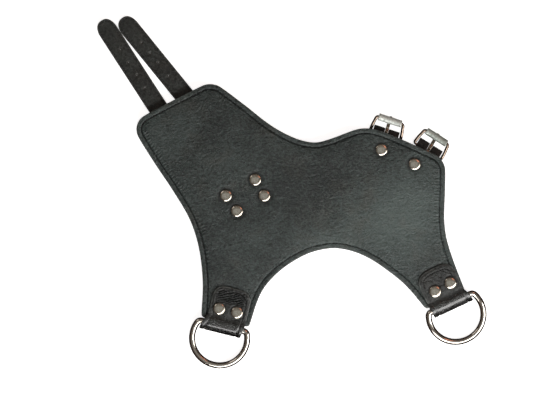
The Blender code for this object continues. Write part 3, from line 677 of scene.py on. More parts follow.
def core_look():
    """The cut edge of the closed-cell core, under black edge paint."""
    n = Nodes("core_look")
    skin = n.attribute("skin")
    layers = n.noise(skin, 1.3, 4.0, 0.6, 0.0, (0.5, 0.5, 3.0))
    colour = n.blend(layers, (0.012, 0.012, 0.012, 1), (0.045, 0.042, 0.04, 1))
    return n.finish(Base_Color=colour, Roughness=0.85, Normal=n.bump(layers, 0.5, 0.0002),
                    Specular_IOR_Level=0.25)


# Leathers: dark, light and edge colours, roughness, the grain's size and depth, the
# creases' depth, the specular level, and a polished coat's weight and roughness.
LEATHERS = {
    "lining": ((0.0045, 0.0098, 0.0098), (0.079, 0.107, 0.102), (0.14, 0.15, 0.145), 0.40, 1.4, 1.0, 0.7,
               0.6),
    "outer": ((0.009, 0.010, 0.010), (0.029, 0.030, 0.030), (0.06, 0.05, 0.042), 0.42, 1.1, 0.4, 0.3, 0.45),
    "strap": ((0.004, 0.0058, 0.0054), (0.064, 0.073, 0.067), (0.10, 0.10, 0.09), 0.42, 0.9, 0.7, 0.6, 0.6),
    "tab": ((0.003, 0.0045, 0.0045), (0.069, 0.081, 0.078), (0.16, 0.17, 0.165), 0.38, 1.0, 0.7, 0.5, 0.6,
            2.3, 0.07),
    "chape": ((0.007, 0.006, 0.0052), (0.030, 0.024, 0.021), (0.05, 0.042, 0.035), 0.6, 1.0, 0.6, 0.5, 0.3),
}
# Metals: bright and tarnished colours, roughness, the size of the tarnish, the scratches'
# depth and how metallic the surface is.
METALS = {
    "nickel": ((0.80, 0.77, 0.73), (0.60, 0.53, 0.46), 0.075, 6.0, 0.2),
    "wire": ((0.40, 0.32, 0.26), (0.17, 0.125, 0.095), 0.13, 4.0, 0.3),
    "cap": ((0.82, 0.80, 0.74), (0.50, 0.44, 0.36), 0.15, 3.6, 0.25),
    # The left and right rollers share one plating: the left's paler copy is painted light and the right's
    # darker copy painted shade.
    "shaded_roller": ((0.60, 0.65, 0.61), (0.30, 0.34, 0.31), 0.45, 1.4, 0.9, 0.6),
    "roller": ((0.84, 0.87, 0.83), (0.55, 0.59, 0.56), 0.5, 1.4, 0.9, 0.6),
}
LOOKS = {name: leather_look(f"{name}_look", *row) for name, row in LEATHERS.items()}
LOOKS |= {"thread": thread_look(), "core": core_look()}
LOOKS |= {name: metal_look(f"{name}_look", *row) for name, row in METALS.items()}


# ---- pad


RIVETS = sorted(name[:-4] for name in frame["nodes"] if name.endswith("_rivet_cap"))
RIVET_PLACES = {name: np.array(middle_of(f"{name}_cap")[:2]) for name in RIVETS}
# Places where the seam draws puckers into the lining: (centre, reach, strength).
PUCKERS = (
    ((-144.0, 62.0), 34.0, 1.0), ((-126.0, 22.0), 30.0, 0.8), ((150.0, 0.0), 45.0, 0.9),
    ((30.0, -58.0), 60.0, 0.55), ((-92.0, -50.0), 40.0, 0.5), ((-60.0, 95.0), 45.0, 0.35),
)
# Marks pressed into the lining: (centre, radius, from, to) with angles in degrees.
MARKS = (
    ((-25.9, -14.8), 17.0, -100.0, -8.0), ((-84.0, 30.5), 9.0, -70.0, 20.0),
    ((-36.0, -5.0), 36.0, -18.0, 40.0),
)
# Paler and darker patches on the lining: (centre, reach along X and Y, strength). The first is a painted
# sheen where the key lamp's light falls; the others make the lining paler or darker in patches.
LINING_SHEEN_AND_TONE = (
    ((108.0, -22.0), (38.0, 34.0), 0.85), ((60.0, -40.0), (45.0, 26.0), 0.35),
    ((20.0, -58.0), (45.0, 20.0), 0.2), ((135.0, -8.0), (30.0, 60.0), 0.2),
    ((-45.0, -44.0), (20.0, 24.0), 0.24), ((12.0, -10.0), (38.0, 28.0), -0.16),
    ((-66.0, -72.0), (16.0, 26.0), -0.1), ((-110.0, 88.0), (30.0, 26.0), 0.15),
    ((-82.0, 67.0), (22.0, 18.0), -0.22), ((24.0, 27.0), (26.0, 20.0), -0.18),
    ((-128.0, 70.0), (24.0, 30.0), 0.18),
)
# The lining as cloth: its settings, its mesh, and the upward pull that stands for the foam.
CLOTH = {
    "quality": 6, "mass": 0.4, "tension_stiffness": 25.0, "compression_stiffness": 25.0,
    "shear_stiffness": 15.0, "bending_stiffness": 2.0, "shrink_min": -0.004, "vertex_group_mass": "held",
}
CLOTH_EDGE, CLOTH_SPACING, CLOTH_FRAMES, GRAVITY = 3.0, 3.6, 20, 9.81


def tab_mask(points, side):
    """1 under a ring tab and 0 away from it."""
    flat = columns([points, np.zeros(len(points))])
    away = moved(hinge_frame(f"{side}_ring_swing").inverted(), flat)
    inward = 1 - step_up(-away[:, 0], TAB_FLAP - 1.0, TAB_FLAP + 5.0)
    return inward * (1 - step_up(np.abs(away[:, 1]), 21.0, 26.0))


def held_down(points):
    """1 where a rivet or a tab presses the lining down, and 0 in the open field."""
    held = np.maximum(tab_mask(points, "left"), tab_mask(points, "right"))
    for place in RIVET_PLACES.values():
        held = np.maximum(held, 1 - step_up(reach_of(points, place), 6.6, 10.5))
    return held


def simulated_field(loop):
    """Cloth simulation of the lining held at its seam, its rivets and under its tabs and
    pushed up by the foam. Returns the settled sheet for looking up heights."""
    held_loop = resampled(offset(loop, SEAM_INSET), CLOTH_EDGE)
    points, faces = planned(held_loop, [], 0.0, CLOTH_SPACING)
    mesh = bpy.data.meshes.new("field_cloth")
    lift = 0.04 * swell(points, 14.0, 5)
    mesh.from_pydata((columns([points, lift]) * MM).tolist(), [], faces.tolist())
    cloth = added("field_cloth", mesh)
    group = cloth.vertex_groups.new(name="held")
    seam = to_edge(points, held_loop)[0] < 0.5
    for i in np.nonzero(seam | (held_down(points) > 0.5))[0].tolist():
        group.add([i], 1.0, "ADD")
    modifier = cloth.modifiers.new("cloth", "CLOTH")
    for key, value in CLOTH.items():
        setattr(modifier.settings, key, value)
    modifier.collision_settings.use_collision = False
    scene = bpy.context.scene
    scene.gravity = (0.0, 0.0, GRAVITY)
    for number in range(1, CLOTH_FRAMES + 1):
        scene.frame_set(number)
    settled = cloth.evaluated_get(bpy.context.evaluated_depsgraph_get()).to_mesh()
    places = np.array([v.co[:] for v in settled.vertices]) / MM
    places[:, :2] = points
    places[:, 2] = PUFF * np.tanh(np.maximum(places[:, 2], 0.0) / PUFF)
    cloth.evaluated_get(bpy.context.evaluated_depsgraph_get()).to_mesh_clear()
    bpy.data.objects.remove(cloth)
    scene.frame_set(1)
    scene.gravity = (0.0, 0.0, -GRAVITY)
    return BVHTree.FromPolygons([Vector(p) for p in places], faces.tolist())


def puffed(points, settled):
    """How far the foam pushes the lining up at each point."""
    if settled is None:
        return PUFF * (1 - held_down(points))
    result = np.zeros(len(points))
    down = Vector((0, 0, -1))
    for i, (x, y) in enumerate(points.tolist()):
        hit = settled.ray_cast(Vector((x, y, 50.0)), down)
        if hit[0] is not None:
            result[i] = hit[0].z
    return result


def lining_height(points, distance, along, settled, pitch):
    """The lining's upper surface."""
    held = held_down(points)
    border = BORDER_HIGH + 0.16 * np.sin(math.pi * np.clip(distance / SEAM_INSET, 0, 1))
    border = border - 0.75 * (1 - rounding(distance, 0.9))
    rise = 0.6 * step_up(distance, SEAM_INSET, SEAM_INSET + 1.5)
    rise = rise + 0.4 * step_up(distance, SEAM_INSET, SEAM_INSET + 11)
    top = FIELD_HIGH + puffed(points, settled)
    top = top + 0.10 * swell(points, 26.0, 11) + 0.05 * swell(points, 9.0, 12)
    height = border + (top - border) * rise
    strength = 0.08 + sum(share * hollow(reach_of(points, place), 0.0, reach)
                          for place, reach, share in PUCKERS)
    length = 4.5 + 2.5 * swell(columns([along, along * 0]), 7.0, 21)
    window = step_up(distance, 5.3, 6.4) * (1 - step_up(distance, 6.4 + length * 0.3, 7.4 + length))
    wander = 0.9 * swell(points, 8.0, 22)
    height += 0.36 * np.minimum(strength, 1.0) * window * np.cos(along * math.tau / pitch + wander)
    drawn = 0.5 + 0.5 * np.cos(along * math.tau / pitch + math.pi)
    height -= (0.26 + 0.40 * drawn) * hollow(distance, SEAM_INSET, 0.6)
    for centre, radius, start, end in MARKS:
        away = points - np.array(centre)
        angle = np.degrees(np.arctan2(away[:, 1], away[:, 0]))
        span = step_up(angle, start, start + 18) * (1 - step_up(angle, end - 18, end))
        reach = np.hypot(*away.T)
        height += span * (0.30 * hollow(reach, radius, 0.7) - 0.35 * hollow(reach, radius - 1.6, 0.8))
    limit = np.minimum(height, UNDER_CAP - 0.05)
    share = step_up(held, 0.15, 0.95)
    return height + (limit - height) * share * step_up(distance, SEAM_INSET, SEAM_INSET + 2)


def sheen_shadow_and_tone(points):
    """Paler and darker patches on the lining, a painted sheen among them, and a painted shadow ring round
    each rivet.
    """
    total = np.zeros(len(points))
    for place, reach, share in LINING_SHEEN_AND_TONE:
        away = (points - np.array(place)) / np.array(reach)
        total += share * np.exp(-(away ** 2).sum(1))
    # Painted shadow: a dark ring on the lining round each rivet cap.
    for place in RIVET_PLACES.values():
        total -= 0.9 * hollow(reach_of(points, place), 6.8, 1.2)
    return total


def seam_painted_shade_and_highlights(distance, along, pitch):
    """The seam's line: painted shade in the groove where the thread draws the leather in, painted highlights
    on the ridges beside it and a painted highlight along the outer edge.
    """
    drawn = 0.5 - 0.5 * np.cos(along * math.tau / pitch)
    ridge_highlights = 0.22 * hollow(distance, 6.6, 0.7) + 0.2 * hollow(distance, 3.7, 0.7)
    groove_shade = (0.08 + 0.7 * drawn) * hollow(distance, SEAM_INSET, 0.55)
    return ridge_highlights - groove_shade + 0.2 * hollow(distance, 0.9, 0.5)


def flat_place(points, heights):
    """Puts a flat plan at its heights."""
    return columns([points, heights])


def pad_pieces(loop):
    """The lining, the core, the outer leather and both lines of stitches."""
    settled = simulated_field(loop)
    fine = resampled(loop, 0.62)
    rows = inset_rows(loop, (0.12, 0.4, 0.9, 1.7, 2.8, 3.8, 4.4)) + inset_rows(
        fine, (4.75, 5.0, 5.3, 5.7, 6.2, 6.8, 7.5, 8.3, 9.2, 10.2))
    plan = planned(loop, rows, 10.2, 1.45)
    distance, along = to_edge(plan[0], loop)
    length = run_of(np.vstack([loop, loop[:1]]))[-1]
    pitch = length / round(length / STITCH_PITCH)
    height = lining_height(plan[0], distance, along, settled, pitch)
    low = CORE_HIGH + 0.45 * (1 - rounding(distance, 0.6))
    rim = hollow(distance, 0.0, 0.55)
    gloss = 0.10 * hollow(distance, 6.2, 0.9)
    lining = sheet("lining", plan, height, low, flat_place, "lining", "lining_leather", ["lining_panel"],
                   rim=rim, gloss=gloss, pale=sheen_shadow_and_tone(plan[0]) + seam_painted_shade_and_highlights(distance, along, pitch))
    core_loop = resampled(offset(loop, 0.45), 2.0)
    plan = planned(core_loop, [], 0.0, 9.0)
    ones = np.ones(len(plan[0]))
    core = sheet("core", plan, ones * CORE_HIGH, ones * OUTER_HIGH, flat_place, "core", "foam", ["foam_core"])
    plan = planned(loop, inset_rows(loop, (0.15, 0.45, 1.0, 4.5, 5.0, 5.5, 7.0)), 7.0, 3.2)
    distance, along = to_edge(plan[0], loop)
    edge = 1 - rounding(distance, 1.0)
    bottom = OUTER_LOW + 0.6 * edge + 0.35 * hollow(distance, SEAM_INSET, 0.5)
    outer = sheet("outer_leather", plan, OUTER_HIGH - 0.5 * edge, bottom, flat_place, "outer",
                  "outer_leather", ["outer_panel"], rim=hollow(distance, 0.0, 0.6))
    line = offset(resampled(loop, STITCH_PITCH), SEAM_INSET)
    forward = columns([unit(chords(line)), np.zeros(len(line))])
    height = lining_height(line, *to_edge(line, loop), settled, pitch)
    seam = stitches("lining_stitches", flat_place(line, height + 0.12), forward, 1, SEAM_STITCH,
                    ["perimeter_thread"])
    low = np.full(len(line), OUTER_LOW + 0.24)
    under = stitches("outer_stitches", flat_place(line, low), forward, -1, SEAM_STITCH, [])
    for made in (lining, core, outer, seam, under):
        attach(made, "pad")


# ---- rivets


def cap_profile(height):
    """A cap's profile: rolled rim and low dome, from its seat to its top."""
    rim = [(5.2, 0.15), (5.9, 0.0), (6.14, 0.12), (6.2, 0.34), (6.12, 0.56), (5.92, 0.72)]
    dome = [(5.92 * math.cos(a), 0.72 + (height - 0.72) * math.sin(a))
            for a in np.radians(np.arange(8, 90, 8))]
    return rim + dome + [(0.25, height)]


def rivets():
    """Both caps and the post of each rivet."""
    for name in RIVETS:
        x, y = RIVET_PLACES[name]
        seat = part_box(f"{name}_cap")[1].z / MM - CAP_RISE
        cap = lathe(f"{name}_dome", cap_profile(CAP_RISE), Matrix.Translation((x, y, seat)), CAP_SIDES, "cap",
                    "nickel", [f"{name}_cap"], dent=CAP_SINK)
        under = [(r, -h) for r, h in reversed(cap_profile(CAP_RISE))]
        post = under + [(1.5, 0.15), (1.5, seat - 2.2), (1.2, seat - 2.0)]
        back = lathe(f"{name}_back", post, Matrix.Translation((x, y, CAP_RISE)), CAP_SIDES, "nickel",
                     "nickel", [f"{name}_post"], dent=CAP_SINK)
        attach(cap, "pad")
        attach(back, "pad")


# ---- tabs and rings


def bent_line(knots, step=0.35):
    """A section line (x, z) with its run, for bending a flat plan along it."""
    line = resampled(knots, step, closed=False)
    return line, run_of(line)


def followed(line, run):
    """Looks a line up by its run: gives two rows of places and two of its direction."""
    slope = unit(np.gradient(line, axis=0))

    def at(distances):
        x, y, dx, dy = (np.interp(distances, run, values) for values in (*line.T, *slope.T))
        scale = np.hypot(dx, dy)
        return x, y, dx / scale, dy / scale

    return at


def bent_place(matrix, line, run, skew=0.0):
    """Puts a flat plan (run, across) on a section line, its upper side outwards. What lies
    beyond the bar is shifted along it by the skew."""
    at = followed(line, run)

    def place(points, heights):
        x, z, dx, dz = at(points[:, 0])
        across = points[:, 1] + skew * np.maximum(x, 0.0)
        return moved(matrix, columns([x - dz * heights, across, z + dx * heights]))

    return place


def tab_half(distance, wide, sewn=0.0):
    """How far the tab's edge lies from its middle, at a distance in from the bar."""
    flare = TAB_FOLD_HALF + (wide - TAB_FOLD_HALF) * np.clip(distance / TAB_FLARE, 0, 1)
    over = np.clip((distance - TAB_SQUARE) / (TAB_FLAP - sewn - TAB_SQUARE), 0, 1)
    return np.where(distance < TAB_FLARE, flare, wide * (1 - over ** 3) ** (1 / 3))


def tab_wrinkles(side, points, world, distance_in, upper):
    """The folds pressed into the left flap, and the softer ones in the right flap."""
    degrees, spacing, depth = TAB_WRINKLES[side]
    lean = math.radians(degrees)
    across = -math.sin(lean) * world[:, 0] + math.cos(lean) * world[:, 1]
    phase = across * math.tau / spacing
    phase = phase + 1.3 * swell(world[:, :2], 12.0, 31) + 0.3 * swell(world[:, :2], 4.0, 32)
    window = step_up(distance_in, 21.5, 24.5) * (1 - step_up(distance_in, 34.5, 38.0))
    window = window * (1 - step_up(np.abs(points[:, 1] - 1.0), 12.0, 15.5)) * upper
    ridge = 1 - np.abs(np.sin(phase / 2)) * 2
    return depth * window * (0.5 * ridge + 0.12 * swell(points, 2.6, 33) - 0.1)


def tab(side):
    """The leather folded round the ring's bar, and the stitches round its flap."""
    base = hinge_frame(f"{side}_ring_swing")
    stretch = TAB_REACH[side] / TAB_CREST[-4][0]
    fold = [(x * (stretch if x > 0 else 1.0), z) for x, z in TAB_CREST]
    line, run = bent_line([(-TAB_FLAP, TAB_RISE)] + fold + [(-TAB_FLAP, -TAB_RISE)])
    line[3:-3] = averaged(line, np.ones(7) / 7)
    place = bent_place(base, line, run, TAB_SKEW[side] / TAB_REACH[side])
    low_half, high_half = TAB_HALVES[side]
    inward = -line[:, 0]
    high = columns([run, tab_half(inward, high_half)])
    low = columns([run, -tab_half(inward, low_half)])
    loop = resampled(np.vstack([low, high[::-1]]), 0.9)
    loop = loop if area(loop) > 0 else loop[::-1]
    rows = inset_rows(loop, (0.12, 0.35, 0.75, 1.3, 2.4, 3.6, 4.2, 4.6, 5.0, 5.5))
    fine = [(u + 0.21, v + 0.13) for u in np.arange(3.0, 18.0, 0.5) for v in np.arange(-12.0, 16.5, 0.5)]
    rows.append(np.array([p for p, room in zip(fine, to_edge(np.array(fine), loop)[0]) if room > 5.8]))
    plan = planned(loop, rows, 5.5, 0.8)
    points = plan[0]
    distance = to_edge(points, loop)[0]
    distance_in = -np.interp(points[:, 0], run, line[:, 0])
    half_way = run[-1] / 2
    upper = 1 - step_up(points[:, 0], half_way + 2.0, half_way + 6.0)
    world = place(points, np.full(len(points), LEATHER / 2))
    edge = rounding(distance, 0.8)
    skived = 0.6 * (1 - step_up(distance, 0.0, 3.0)) * step_up(distance_in, 7.0, 15.0) * upper
    skived = skived + 0.95 * hollow(distance_in, 8.5, 4.0) * upper
    face = LEATHER / 2 - 0.65 * (1 - edge) - skived
    across = np.abs(points[:, 1])
    face = face - 0.5 * hollow(across, TAB_FOLD_HALF - 5.2, 0.6) * hollow(points[:, 0], half_way - 2.0, 8.0)
    face = face - 0.38 * hollow(distance, TAB_SEAM_INSET, 0.5) * upper
    open_flap = step_up(distance, 1.0, 3.0) * step_up(distance_in, 6.0, 12.0)
    face = face + 0.08 * swell(points, 7.0, 41) * open_flap
    wrinkles = tab_wrinkles(side, points, world, distance_in, upper)
    face = face + wrinkles
    # Painted light on the tab: paler on the wrinkles' crests and darker in their troughs, and painted shade
    # on the fold beyond the bar.
    pale = 2.0 * np.clip(wrinkles - 0.08, -0.3, 0.5) - 0.5 * (1 - step_up(distance_in, -3.5, 0.5))
    # Painted shade along the flap's seam.
    pale = pale - 0.6 * hollow(distance, TAB_SEAM_INSET, 0.5) * upper * step_up(distance_in, 22.0, 26.0)
    for end in SIDES:
        spot = RIVET_PLACES[f"{side}_tab_{end}_rivet"]
        near = 1 - step_up(reach_of(world[:, :2], spot), 6.3, 9.5)
        face = face - 0.35 * near * upper
    face = np.minimum(face, LEATHER / 2 + 0.45)
    around = 1 - step_up(distance_in, -1.0, 10.0)
    back = -LEATHER / 2 + 0.5 * (1 - edge)
    rim = 0.8 * hollow(distance, 0.35, 0.6) * step_up(distance_in, 8.0, 14.0)
    made = sheet(f"{side}_tab", plan, face, back, place, "tab", "tab_leather", [f"{side}_ring_tab"],
                 rim=rim, gloss=0.45 * around, pale=pale)
    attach(made, "pad")
    distances = np.linspace(TAB_SEWN_FROM, TAB_FLAP - TAB_SEAM_INSET, 60)
    sewn = [tab_half(distances, half - TAB_SEAM_INSET, TAB_SEAM_INSET) for half in TAB_HALVES[side]]
    low, high = (columns([TAB_FLAP - distances, values]) for values in (-sewn[0], sewn[1]))
    path = resampled(np.vstack([low, high[::-1]]), STITCH_PITCH * 0.86, closed=False)
    centres = place(path, np.full(len(path), LEATHER / 2 - 0.12))
    sewn = stitches(f"{side}_tab_stitches", centres, unit(np.gradient(centres, axis=0)), 1, TAB_STITCH,
                    [f"{side}_tab_thread"])
    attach(sewn, "pad")


def arc(centre, radius, angles):
    """Points of an arc."""
    return [(centre[0] + radius * math.cos(a), centre[1] + radius * math.sin(a)) for a in angles]


def ring(side):
    """A D-ring: its bar along Y, its corners and its arc."""
    fillet = math.sqrt((RING_ARC - RING_CORNER) ** 2 - (RING_CENTRE - RING_CORNER) ** 2)
    meet = math.atan2(fillet, RING_CORNER - RING_CENTRE)
    path = [(0.0, y) for y in np.linspace(-fillet, fillet, 60)]
    path += arc((RING_CORNER, fillet), RING_CORNER, np.linspace(math.pi, meet, 12)[1:])
    path += arc((RING_CENTRE, 0.0), RING_ARC, np.linspace(meet, -meet, 150)[1:])
    path += arc((RING_CORNER, -fillet), RING_CORNER, np.linspace(-meet, -math.pi, 12)[1:-1])
    path = resampled(path, 0.8)
    places = tube_rows(path, ring_section, RING_SIDES).reshape(-1, 3)
    places = places + 0.02 * swell(places, 5.0, 51)[:, None]
    base = hinge_frame(f"{side}_ring_swing", RING_TILT)
    made = piece(f"{side}_ring", moved(base, places), loop_faces(len(path), RING_SIDES), "nickel", "nickel",
                 [f"{side}_d_ring"], skin=places)
    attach(made, f"{side}_ring")


# ---- buckles


def chape(side):
    """The thin leather folded round the heel bar, slotted for the tongue."""
    base = hinge_frame(f"{side}_buckle_swing")
    fold = [(CHAPE_FOLD * math.sin(a), CHAPE_RISE * math.cos(a)) for a in np.linspace(0, math.pi, 30)]
    ramp = [(-CHAPE_RAMP * t, -CHAPE_RISE + (CHAPE_LOW + CHAPE_RISE) * step_up(t, 0, 1))
            for t in np.linspace(0.1, 1, 10)]
    line, run = bent_line([(-CHAPE_BACK, CHAPE_RISE)] + fold + ramp + [(-CHAPE_BACK, CHAPE_LOW)], 0.25)
    end = run[-1]
    loop = slab(0, end, CHAPE_HALF, (1.0, 4.0), 0.7)
    slot_half, near, far = CHAPE_SLOT
    hole = slab(CHAPE_BACK - near, end - (CHAPE_BACK - far), slot_half, (1.4, 1.4), 0.6)
    plan = planned(loop, inset_rows(loop, (0.15, 0.4, 0.9, 1.6)), 1.6, 1.1, holes=[hole])
    points = plan[0]
    distance = np.minimum(to_edge(points, loop)[0], to_edge(points, hole)[0])
    leaf = CHAPE_LEAF * (0.3 + 0.7 * rounding(distance, 0.5))
    rough = 0.06 * swell(points, 2.2, 61)
    made = sheet(f"{side}_chape_leather", plan, leaf + rough * step_up(distance, 0.2, 1.0), -leaf,
                 bent_place(base, line, run), "chape", "strap_leather", [f"{side}_chape"],
                 rim=hollow(distance, 0.0, 0.5))
    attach(made, "pad")


def bar_rows(line, halves, heights):
    """Rows of rounded-flat sections along a line in the local XZ plane."""
    slope = unit(np.gradient(line, axis=0))
    across, up = (np.sign(v) * np.abs(v) ** 0.6 for v in (np.cos(TONGUE_TURNS), np.sin(TONGUE_TURNS)))
    rows = [columns([x - dz * up * height, across * half, z + dx * up * height])
            for (x, z), (dx, dz), half, height in zip(line, slope, halves, heights)]
    return np.array(rows)


def tongue(side, swing):
    """The tongue: its eye round the heel bar and its bent blade."""
    line = resampled(TONGUE_LINE, 0.4, closed=False)
    line = averaged(np.vstack([line[:1]] * 2 + [line] + [line[-1:]] * 2), np.ones(5) / 5)
    tip = np.sqrt(np.clip((TONGUE_LINE[-1][0] + 0.1 - line[:, 0]) / 1.6, 0.02, 1))
    rows = bar_rows(line, TONGUE_HALF * (0.45 + 0.55 * tip), 0.86 * (0.4 + 0.6 * tip))
    sides = len(TONGUE_TURNS)
    reach = 1.85 + 0.33 * np.sin(TONGUE_TURNS)
    across = TONGUE_HALF * 0.97 * np.cos(TONGUE_TURNS)
    eye = [columns([reach * math.cos(a), across, reach * math.sin(a)])
           for a in np.linspace(0, math.tau, 30, endpoint=False)]
    faces = loop_faces(len(rows), sides, closed=False)
    faces += shifted(loop_faces(len(eye), sides), len(rows) * sides)
    places = np.vstack([*rows, *eye])
    made = piece(f"{side}_tongue_bar", moved(swing, places), faces, "wire", "nickel",
                 [f"{side}_buckle_tongue"], skin=places)
    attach(made, f"{side}_tongue")


def buckle(side):
    """The buckle's frame, roller and tongue."""
    heel = hinge_place(f"{side}_buckle_swing")
    axle = hinge_place(f"{side}_roller_spin")
    lean = math.atan2(axle.z - heel.z, (axle - heel).to_2d().length)
    swing = hinge_frame(f"{side}_buckle_swing", -lean)
    path = filleted(FRAME_CORNERS, 0.45)
    places = tube_rows(path, frame_section, FRAME_SIDES).reshape(-1, 3)
    made = piece(f"{side}_frame_wire", moved(swing, places), loop_faces(len(path), FRAME_SIDES), "wire",
                 "nickel", [f"{side}_buckle_frame"], skin=places)
    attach(made, f"{side}_frame")
    axis = swing @ Matrix.Translation((ROLLER_PLACE, 0, 0)) @ Matrix.Rotation(-math.pi / 2, 4, "X")
    # The right roller gets the darker copy of the same plating: painted shade.
    look = "roller" if side == "left" else "shaded_roller"
    roller = lathe(f"{side}_roller_tube", ROLLER_PROFILE, axis, ROLLER_SIDES, look, "roller_steel",
                   [f"{side}_buckle_roller"], closed=True, seam=ROLLER_SEAM)
    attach(roller, f"{side}_roller")
    tongue(side, swing)
    chape(side)


# ---- straps


def strap_line(side):
    """The strap's middle line in plan: places, and distances from the pad's edge."""
    first, second, third = (hinge_place(f"{side}_strap_bend_{i}").to_2d() / MM for i in (1, 2, 3))
    outward = (third - first).normalized()
    edge = first - outward * HINGES[0]
    inner, outer = (Vector(RIVET_PLACES[f"{side}_strap_{end}_rivet"]) for end in ("inner", "outer"))
    inward = (inner - outer).normalized()
    tail = inner + inward * STRAP_TAIL
    knots = [tail + inward * 30, inner, outer, edge, edge + outward * (STRAP_LENGTH[side] + 40)]
    line = resampled([k[:] for k in knots], 0.5, closed=False)
    kernel = np.exp(-((np.arange(-24, 25) * 0.5 / 5.0) ** 2))
    line = averaged(line, kernel / kernel.sum())
    run = run_of(line)
    run = run - (run[np.argmin(reach_of(line, edge + outward * 40))] - 40)
    start = run[np.argmin(reach_of(line, tail))]
    return line, run, start, outward


def strap(side):
    """A strap in three pieces, each spanning one hinge, with its stitches."""
    line, run, start, outward = strap_line(side)
    at = followed(line, run)

    def place(points, heights):
        x, y, dx, dy = at(points[:, 0])
        return columns([x - dy * points[:, 1], y + dx * points[:, 1], heights])

    length = STRAP_LENGTH[side]
    angles = np.radians(np.linspace(0, 88, 14))
    tip = [(length - STRAP_POINT * (1 - math.sin(a)), STRAP_HALF * math.cos(a) ** 0.8) for a in angles]
    side_line = [(start, STRAP_HALF * 0.4), (start + 1.5, STRAP_HALF * 0.72), (start + 5, STRAP_HALF)] + tip
    half_loop = [(u, -v) for u, v in side_line] + [(length, 0.0)] + [(u, v) for u, v in reversed(side_line)]
    loop = resampled(half_loop, 1.1)
    holes = [circle((d, 0.0), PUNCH_RADIUS, PUNCH_SIDES) for d in PUNCHES[side]]
    cuts = [((at, -STRAP_HALF), (at, STRAP_HALF)) for at in STRAP_CUTS]
    rows = inset_rows(loop, (0.12, 0.35, 0.75, 1.3, 2.0, 2.5, 3.0, 3.6))
    rows += [circle((d, 0.0), radius, PUNCH_SIDES) for d in PUNCHES[side]
             for radius in (1.6, 2.0, PUNCH_DRAWN)]
    points, faces = planned(loop, rows, 3.6, 1.5, holes, cuts)
    distance = to_edge(points, loop)[0]
    to_hole = np.min([reach_of(points, (d, 0.0)) for d in PUNCHES[side]], axis=0)
    half = LEATHER / 2 * (0.34 + 0.66 * rounding(distance, 1.0))
    half = half - 0.24 * hollow(distance, STRAP_SEAM_INSET, 0.42) - 0.25 * hollow(to_hole, PUNCH_RADIUS, 0.7)
    wave = 0.06 * swell(points, 11.0, 71) * step_up(distance, 0.8, 2.5)
    upper = STRAP_MIDDLE + half + wave
    lower = STRAP_MIDDLE - half
    rim = np.maximum(hollow(distance, 0.0, 0.6), 0.7 * hollow(to_hole, PUNCH_RADIUS, 0.5))
    below = points.copy()
    for d in PUNCHES[side]:
        away = points - np.array((d, 0.0))
        reach = np.hypot(*away.T)
        near = reach < PUNCH_DRAWN
        closed_to = reach - PUNCH_RADIUS
        closed_to = PUNCH_LOW + closed_to * (PUNCH_DRAWN - PUNCH_LOW) / (PUNCH_DRAWN - PUNCH_RADIUS)
        below[near] = np.array((d, 0.0)) + away[near] * (closed_to / np.maximum(reach, 0.1))[near][:, None]
    middles = points[faces][:, :, 0].mean(1)
    limits = [-1e3, *STRAP_CUTS, 1e3]
    seam = resampled(offset(loop, STRAP_SEAM_INSET), STRAP_STITCH_PITCH)
    forward = chords(seam)
    for number in range(3):
        chosen = faces[(middles > limits[number]) & (middles < limits[number + 1])]
        used = np.unique(chosen)
        renumbered = np.searchsorted(used, chosen)
        nodes = [f"{side}_strap_link_{number + 1}"] + ([f"{side}_strap_root"] if number == 0 else [])
        name = f"{side}_strap_{'abc'[number]}"
        leather = sheet(name, (points[used], renumbered), upper[used], lower[used], place, "strap",
                        "strap_leather", nodes, 60.0, below[used], rim=rim[used])
        sewn_at = (seam[:, 0] > limits[number] + 1.2) & (seam[:, 0] < limits[number + 1] - 1.2)
        line_points = seam[sewn_at]
        flat = np.zeros(len(line_points))
        direction = unit(place(line_points + forward[sewn_at] * 0.05, flat) - place(line_points, flat))
        sunk = LEATHER / 2 - 0.16
        centres = [place(line_points, flat + STRAP_MIDDLE + lift) for lift in (sunk, -sunk)]
        facing = np.repeat([1, -1], len(line_points))
        sewn = stitches(f"{name}_stitches", np.vstack(centres), np.vstack([direction, direction]), facing,
                        STRAP_STITCH, [])
        reach = outward.to_3d() * MM
        for made in (leather, sewn):
            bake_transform(made)


# ---- studio


FIELD_WIDTH = 0.533
CAMERA_OVER = (-0.02523, -0.00779, 0.0085)
CAMERA_HEIGHT = 3.0
SENSOR_WIDTH = 36.0
FLOOR_HALF = 9.0

# The backdrop's section, from the floor to its top: (radius, height) in metres.
BACKDROP = ((7.6, 0.0), (8.3, 0.12), (8.7, 0.5), (8.9, 1.2), (9.0, 4.5))
BACKDROP_SIDES = 96

# The room's light from straight below to straight above: (place, colour).
WORLD_STOPS = (
    (0.0, (0.012, 0.008, 0.006)), (0.12, (0.04, 0.026, 0.019)), (0.55, (0.075, 0.058, 0.048)),
    (0.86, (0.15, 0.138, 0.122)), (1.0, (0.33, 0.325, 0.30)),
)

# Lamps: (name, place, what it is aimed at, size, power, colour).
LAMPS = (
    ("key", (0.444, -0.591, 0.695), (0.12, -0.03, 0.0), (1.7, 0.42), 13.0, (1.0, 0.99, 0.97)),
    ("warm", (0.62, 0.5, 1.0), (0.0, 0.0, 0.0), (0.4, 0.25), 0.5, (1.0, 0.34, 0.2)),
    ("fill", (-0.9, 0.7, 0.9), (0.0, 0.0, 0.0), (0.5, 0.5), 0.9, (1.0, 0.93, 0.86)),
)


def lamp(name, place, target, size, power, colour):
    """A soft rectangular lamp aimed at a point."""
    data = bpy.data.lights.new(name, "AREA")
    data.shape = "RECTANGLE"
    data.size, data.size_y = size
    data.energy = power
    data.color = colour
    made = added(name, data)
    made.location = place
    made.rotation_euler = (Vector(target) - Vector(place)).to_track_quat("-Z", "Y").to_euler()
    made.visible_camera = False


